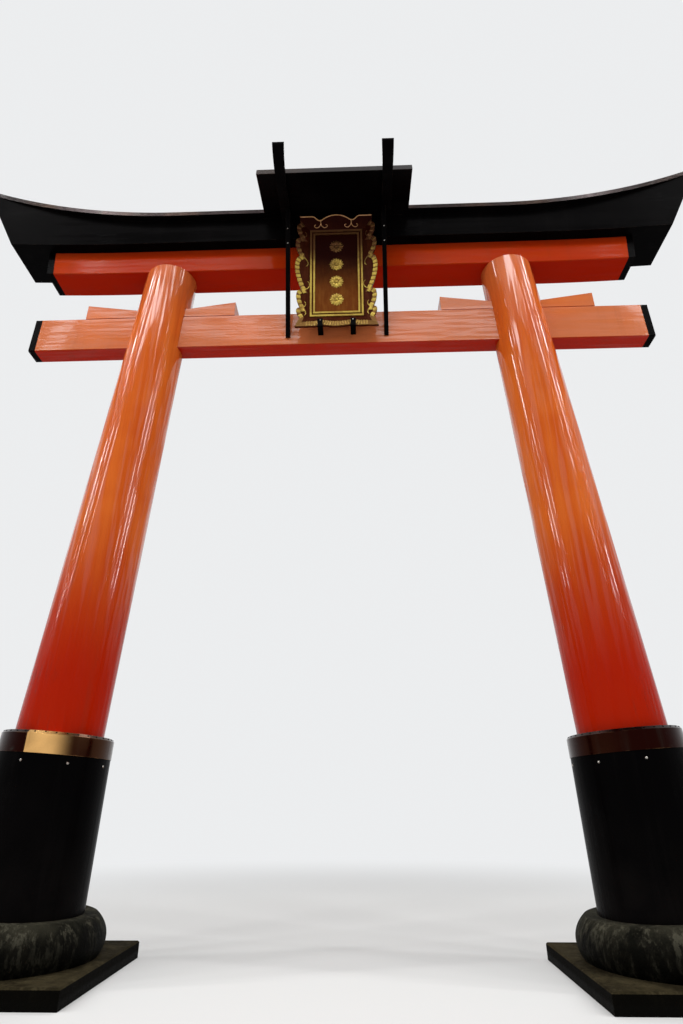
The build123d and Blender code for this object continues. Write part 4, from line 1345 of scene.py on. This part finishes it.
def petal_mesh(length, width, height, tip):
    """A domed petal that points along X from the origin. Tip is the share of width left at its end."""
    shape = bmesh.new()
    rows = []
    for i in range(PETAL_STEPS + 1):
        along = i / PETAL_STEPS
        outline = math.sin(math.pi * along ** OUTLINE_POWER) * (1 - tip) + tip * along + HEEL * (1 - along)
        rise = math.sin(math.pi * min(HEEL + along * (1 - HEEL), TIP_RISE))
        row = []
        for j in range(PETAL_LANES + 1):
            across = 2 * j / PETAL_LANES - 1
            dome = height * (1 - across ** 2) * rise
            crease = CREASE * height * math.exp(-(across * CREASE_SHARPNESS) ** 2) * (1 - along)
            corner = (along * length, across * width / 2 * outline, dome - crease + PETAL_LIFT)
            row.append(shape.verts.new(corner))
        rows.append(row)
    for one, other in zip(rows, rows[1:]):
        for j in range(PETAL_LANES):
            shape.faces.new((one[j], other[j], other[j + 1], one[j + 1])).smooth = True
    rim = [edge for edge in shape.edges if edge.is_boundary]
    for item in bmesh.ops.extrude_edge_only(shape, edges=rim)["geom"]:
        if isinstance(item, bmesh.types.BMVert):
            item.co.z = -SINK
    bmesh.ops.contextual_create(shape, geom=[edge for edge in shape.edges if edge.is_boundary])
    bmesh.ops.recalc_face_normals(shape, faces=shape.faces)
    return as_mesh(shape, "petal")


petal = petal_mesh(*PETAL)
leaf = petal_mesh(*LEAF)
print("a petal has", len(petal.polygons), "faces")

# %% [markdown]
# Each part of a floret is now grown once and copied to its four places, which are heights on the
# panel. Growing it four times would give the same, only slower.

# %% Set the florets
FLORET_HEIGHTS = (0.640, 0.474, 0.313, 0.152)
PETAL_RING = 0.013
BOSS_RADIUS = 0.0135
BOSS_HEIGHT = 0.010

floret = [
    grow(wreath, petal, gold, Reach=PETAL_RING),
    grow(wreath, leaf, gold, Reach=PETAL_RING, Turn=math.pi / PETALS),
    grow(heads, spot_mesh([(Vector(), UP)]), gold, Radius=BOSS_RADIUS, Height=BOSS_HEIGHT),
]
florets = []
for height in FLORET_HEIGHTS:
    for mesh in floret:
        copy = mesh.copy()
        copy.transform(Matrix.Translation((0.0, height, 0.0)))
        florets.append(panel.lay(copy))
add_piece("florets", florets, gold)

# %% [markdown]
# Nails and seams sit on sleeves that lean and taper, and on roofs that curve up. Their places could
# be worked out from the angles, but a ray that is sent at the solid finds the exact place on it and
# the way that the surface faces there. The rays round a sleeve are sent square to its pillar's axis,
# which runs through the middles of the pillar's two ends.

# %% Find the pillars' axes
SIDES = {"left": -1, "right": 1}
END_DEPTH = 0.035


def end_centre(name, way):
    """The middle of a solid's upper end, for a way of 1, or of its lower end, for -1."""
    corners = [vertex.co for vertex in nodes[name].data.vertices]
    last = max(corner.z * way for corner in corners)
    ring = [corner for corner in corners if corner.z * way > last - END_DEPTH]
    return Vector([(min(values) + max(values)) / 2 for values in zip(*ring)])


axes = {}
for label in SIDES:
    foot = end_centre("pillar_" + label, -1)
    axes[label] = (foot, (end_centre("pillar_" + label, 1) - foot).normalized())
print("pillars lean", [round(math.degrees(axis.angle(UP)), 2) for _, axis in axes.values()], "degrees")

# %% [markdown]
# Each sleeve is nailed two fingers' breadth under its copper band. Eight nails stand round it at
# equal angles. The tree of nail heads needs only the places and the ways that they face, and a ring
# of rays gives both.

# %% Nail the sleeves
SLEEVE_NAILS = 8
FIRST_NAIL = math.radians(-6)
NAIL_DROP = 0.040
OUTSIDE = 1.0


def surface(name):
    """A solid as a tree that rays can be sent at."""
    mesh = nodes[name].data
    corners = [vertex.co for vertex in mesh.vertices]
    return BVHTree.FromPolygons(corners, [tuple(face.vertices) for face in mesh.polygons])


def axis_range(name, label):
    """How far up its pillar's axis a solid starts and ends."""
    foot, axis = axes[label]
    heights = [(vertex.co - foot).dot(axis) for vertex in nodes[name].data.vertices]
    return min(heights), max(heights)


def ring_places(name, label, height, angles):
    """Places on a turned solid at a height up the axis and at angles from the front, with normals."""
    foot, axis = axes[label]
    sideways = Vector((0, 1, 0)).cross(axis).normalized()
    ahead = sideways.cross(axis).normalized()
    tree = surface(name)
    found = []
    for angle in angles:
        way = ahead * math.cos(angle) + sideways * math.sin(angle)
        place, normal, _, _ = tree.ray_cast(foot + axis * height + way * OUTSIDE, -way)
        found.append((place, normal))
    return found


def add_nails(name, spots, finish, radius, height):
    """One piece of nail heads, on spots given as (place, way that it faces)."""
    mesh = grow(heads, spot_mesh(spots), finish, Radius=radius, Height=height)
    add_piece(name, [mesh], finish)


sleeve_nails = []
for label in SIDES:
    band_low, _ = axis_range("sleeve_band_" + label, label)
    angles = [FIRST_NAIL + math.tau * i / SLEEVE_NAILS for i in range(SLEEVE_NAILS)]
    sleeve_nails += ring_places("sleeve_" + label, label, band_low - NAIL_DROP, angles)
add_nails("sleeve_nails", sleeve_nails, nail_metal, radius=0.0075, height=0.0045)

# %% [markdown]
# The copper bands are tacked down round their top edges. The tacks are so small that a texture could
# stand for them, but from below they break the band's outline against the pillar. So they are domes
# too, at about equal steps round the band.

# %% Tack the bands
TACK_PITCH = 0.060
TACK_DROP = 0.006

tacks = []
for label in SIDES:
    band = "sleeve_band_" + label
    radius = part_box(band)[1].y - PILLAR_Y
    count = round(math.tau * radius / TACK_PITCH)
    angles = [math.tau * i / count for i in range(count)]
    tacks += ring_places(band, label, axis_range(band, label)[1] - TACK_DROP, angles)
add_nails("band_tacks", tacks, black_iron, radius=0.005, height=0.003)

# %% [markdown]
# A band is one strip of sheet, so its ends meet in a lapped seam that runs up the axis: on the left
# it faces front, on the right it is at the back. The seam could be a line of dark paint, but a lap
# stands up and casts a thin shadow. It is a short flat band, laid on the copper where a ray hits it.

# %% Seam the bands
SEAM_ANGLE = {"left": math.radians(-5), "right": math.radians(180)}
SEAM_WIDTH = 0.024
SEAM_END_GAP = 0.012
SEAM_LIFT = 0.0018
SEAM_SINK = 0.003

seams = []
for label in SIDES:
    band = "sleeve_band_" + label
    low, high = axis_range(band, label)
    middle, normal = ring_places(band, label, (low + high) / 2, [SEAM_ANGLE[label]])[0]
    _, axis = axes[label]
    normal = (normal - axis * normal.dot(axis)).normalized()
    reach = (high - low) / 2 - SEAM_END_GAP
    lines = [[Vector((end * reach, y)) for end in (-1, 1)] for y in (SEAM_WIDTH / 2, -SEAM_WIDTH / 2)]
    seam = flat_band(*lines, SEAM_LIFT, -SEAM_SINK)
    seams.append(laid(seam, middle, axis, normal.cross(axis), normal))
add_piece("band_seams", seams, band_copper_and_reflection)

# %% [markdown]
# The hooks that carry the plaque have a nail head near the top of the lip, and each brace of the
# hood has two where its strap is fixed. Here the rays come from the front, at the middle of each
# piece's width.

# %% Nail the hooks and braces
BRACE_NAIL_LEVELS = (4.86, 4.98)
HOOK_NAIL_DROP = 0.014
IN_FRONT = -3.0


def front_place(name, height):
    """The place on a solid's front at a height, with the way that it faces."""
    low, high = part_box(name)
    start = Vector(((low.x + high.x) / 2, IN_FRONT, height))
    place, normal, _, _ = surface(name).ray_cast(start, Vector((0, 1, 0)))
    return place, normal


small_nails = []
for label in SIDES:
    hook = "plaque_hook_" + label
    small_nails.append(front_place(hook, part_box(hook)[1].z - HOOK_NAIL_DROP))
    small_nails += [front_place("hood_brace_" + label, level) for level in BRACE_NAIL_LEVELS]
add_nails("small_nails", small_nails, nail_metal, radius=0.0055, height=0.004)

# %% [markdown]
# The roof and the hood are covered in copper sheet, laid in strips from the eave to the ridge and
# folded together in low seams. The seams could be a bump in the finish, but they stand out against
# the sky at the eave. So they are mouldings too. A seam starts at the eave and ends short of the
# ridge, and rays from above find its line on the curved roof.

# %% Seam the roofs
ROOF_PITCH = 0.42
HOOD_PITCH = 0.29
FOLD = {"Width": 0.016, "Height": 0.004}
EAVE_GAP = 0.006
RIDGE_GAP = 0.030
FOLD_STEPS = 3
ABOVE = 8.0


def lines_down(name, pitch, slopes):
    """Lines across a roof, each from one depth to another, at equal places along its length."""
    low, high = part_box(name)
    tree = surface(name)
    count = int((high.x - low.x - pitch / 2) / pitch)
    lines = []
    for x in [(i - count / 2) * pitch for i in range(count + 1)]:
        for start, end in slopes:
            depths = [start + (end - start) * step / FOLD_STEPS for step in range(FOLD_STEPS + 1)]
            lines.append([tree.ray_cast(Vector((x, y, ABOVE)), -UP)[0] for y in depths])
    return lines


low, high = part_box("roof")
ridge = (low.y + high.y) / 2
roof_slopes = [(low.y + EAVE_GAP, ridge - RIDGE_GAP), (high.y - EAVE_GAP, ridge + RIDGE_GAP)]
low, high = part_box("hood_roof")
hood_slopes = [(low.y + EAVE_GAP, high.y - EAVE_GAP)]
for name, lines in (
    ("roof_seams", lines_down("roof", ROOF_PITCH, roof_slopes)),
    ("hood_seams", lines_down("hood_roof", HOOD_PITCH, hood_slopes)),
):
    add_piece(name, [grow(moulding, line_mesh(lines), roof_cover, **FOLD)], roof_cover)

# %% [markdown]
# The gate is shown on a plain pale floor. A floor that simply ended would draw a hard horizon behind
# the pillars. So some metres away it fades into the colour of the sky: the camera and the mirrored
# rays see a glow there, while the light that falls on the gate doesn't change. The Light Path node
# tells these kinds of ray apart.

# %% Lay the floor
FLOOR_SIZE = 120.0
FLOOR_COLOUR = (0.72, 0.72, 0.71)
FLOOR_ROUGHNESS = 0.85
SKY_SEEN = (0.84, 0.85, 0.86)
FADE_FROM = 2.5
FADE_TO = 8.0


def seen_share(maker):
    """1 for what the camera sees, directly, mirrored or through glass, and 0 for the light itself."""
    rays = maker.add("ShaderNodeLightPath").outputs
    return maker.most(rays["Is Camera Ray"], rays["Is Glossy Ray"], rays["Is Transmission Ray"])


shape = bmesh.new()
bmesh.ops.create_grid(shape, x_segments=1, y_segments=1, size=FLOOR_SIZE / 2)
floor = into_scene("floor", as_mesh(shape, "floor"))
maker = new_finish("pale floor")
floor.data.materials.append(close_finish(maker, Base_Color=FLOOR_COLOUR, Roughness=FLOOR_ROUGHNESS))
distance = maker.add("ShaderNodeVectorMath", {0: maker.place()}, operation="LENGTH").outputs["Value"]
fade = maker.times(maker.spread(distance, FADE_FROM, FADE_TO), seen_share(maker))
glow = maker.add("ShaderNodeEmission", {"Color": SKY_SEEN, "Strength": 1.0}).outputs[0]
matte = maker.tree.nodes["Principled BSDF"].outputs[0]
faded = maker.add("ShaderNodeMixShader", {0: fade, 1: matte, 2: glow}).outputs[0]
maker.put(faded, maker.tree.nodes["Material Output"].inputs["Surface"])
print("floor of", FLOOR_SIZE, "m")

# %% [markdown]
# The sky is seen as a pale grey, but it lights the gate much less than that, so that the lamps can
# shape the timber. Two skies could be mixed; a single background is enough when its strength is 1
# for what is seen and less for the light.

# %% Set the sky
SKY_LIGHT = 0.24

sky = bpy.data.worlds.new("sky")
sky.use_nodes = True
bpy.context.scene.world = sky
maker = NodeMaker(sky.node_tree)
background = sky.node_tree.nodes["Background"]
maker.put(SKY_SEEN, background.inputs["Color"])
strength = maker.plus(SKY_LIGHT, maker.times(seen_share(maker), 1.0 - SKY_LIGHT))
maker.put(strength, background.inputs["Strength"])
print("sky lights with", SKY_LIGHT)

# %% [markdown]
# The lamps are soft areas. One big lamp would light the gate well enough, but a round, glossy pillar
# shows the shape of what it mirrors. So there are wide lamps in front and behind, and tall narrow
# ones at the sides, which draw the long, sharp highlights down the pillars. Each strip is aimed
# across, at the pillar on the other side. The front lamp stands where the tie beam mirrors it and
# the lintel only just does.

# %% Hang the lamps
# A lamp is given as its name, place, target, width, height and power, and a strip as X, Y and power.
BIG_LAMPS = (
    ("front lamp", (-1.0, -8.2, 12.85), (0.0, 0.0, 4.2), 12.0, 2.2, 700.0),
    ("back lamp", (1.0, 7.0, 16.5), (0.0, 0.0, 3.0), 9.0, 4.0, 700.0),
)
STRIPS = ((8.5, -2.0, 300.0), (6.8, -3.3, 190.0), (5.0, -4.5, 150.0))
STRIP_WIDTH = 0.30
STRIP_HEIGHT = 11.0
STRIP_LEVEL = 9.5
FAR_PILLAR_X = 1.5
AIM_LEVEL = 3.0


def soft_lamp(name, place, target, width, height, power):
    """A rectangular lamp at a place, turned to a target."""
    lamp = bpy.data.lights.new(name, "AREA")
    lamp.shape = "RECTANGLE"
    lamp.size = width
    lamp.size_y = height
    lamp.energy = power
    aim = (Vector(target) - Vector(place)).to_track_quat("-Z", "Y")
    into_scene(name, lamp).matrix_world = Matrix.Translation(place) @ aim.to_matrix().to_4x4()


for lamp in BIG_LAMPS:
    soft_lamp(*lamp)
for label, way in SIDES.items():
    target = (-way * FAR_PILLAR_X, PILLAR_Y, AIM_LEVEL)
    for x, y, power in STRIPS:
        place = (way * x, y, STRIP_LEVEL)
        soft_lamp(label + " strip", place, target, STRIP_WIDTH, STRIP_HEIGHT, power)

# %% [markdown]
# Last, the view settings stay plain, because a filmic curve would shift the paint's colours.

# %% Set the view
bpy.context.scene.view_settings.view_transform = "Standard"
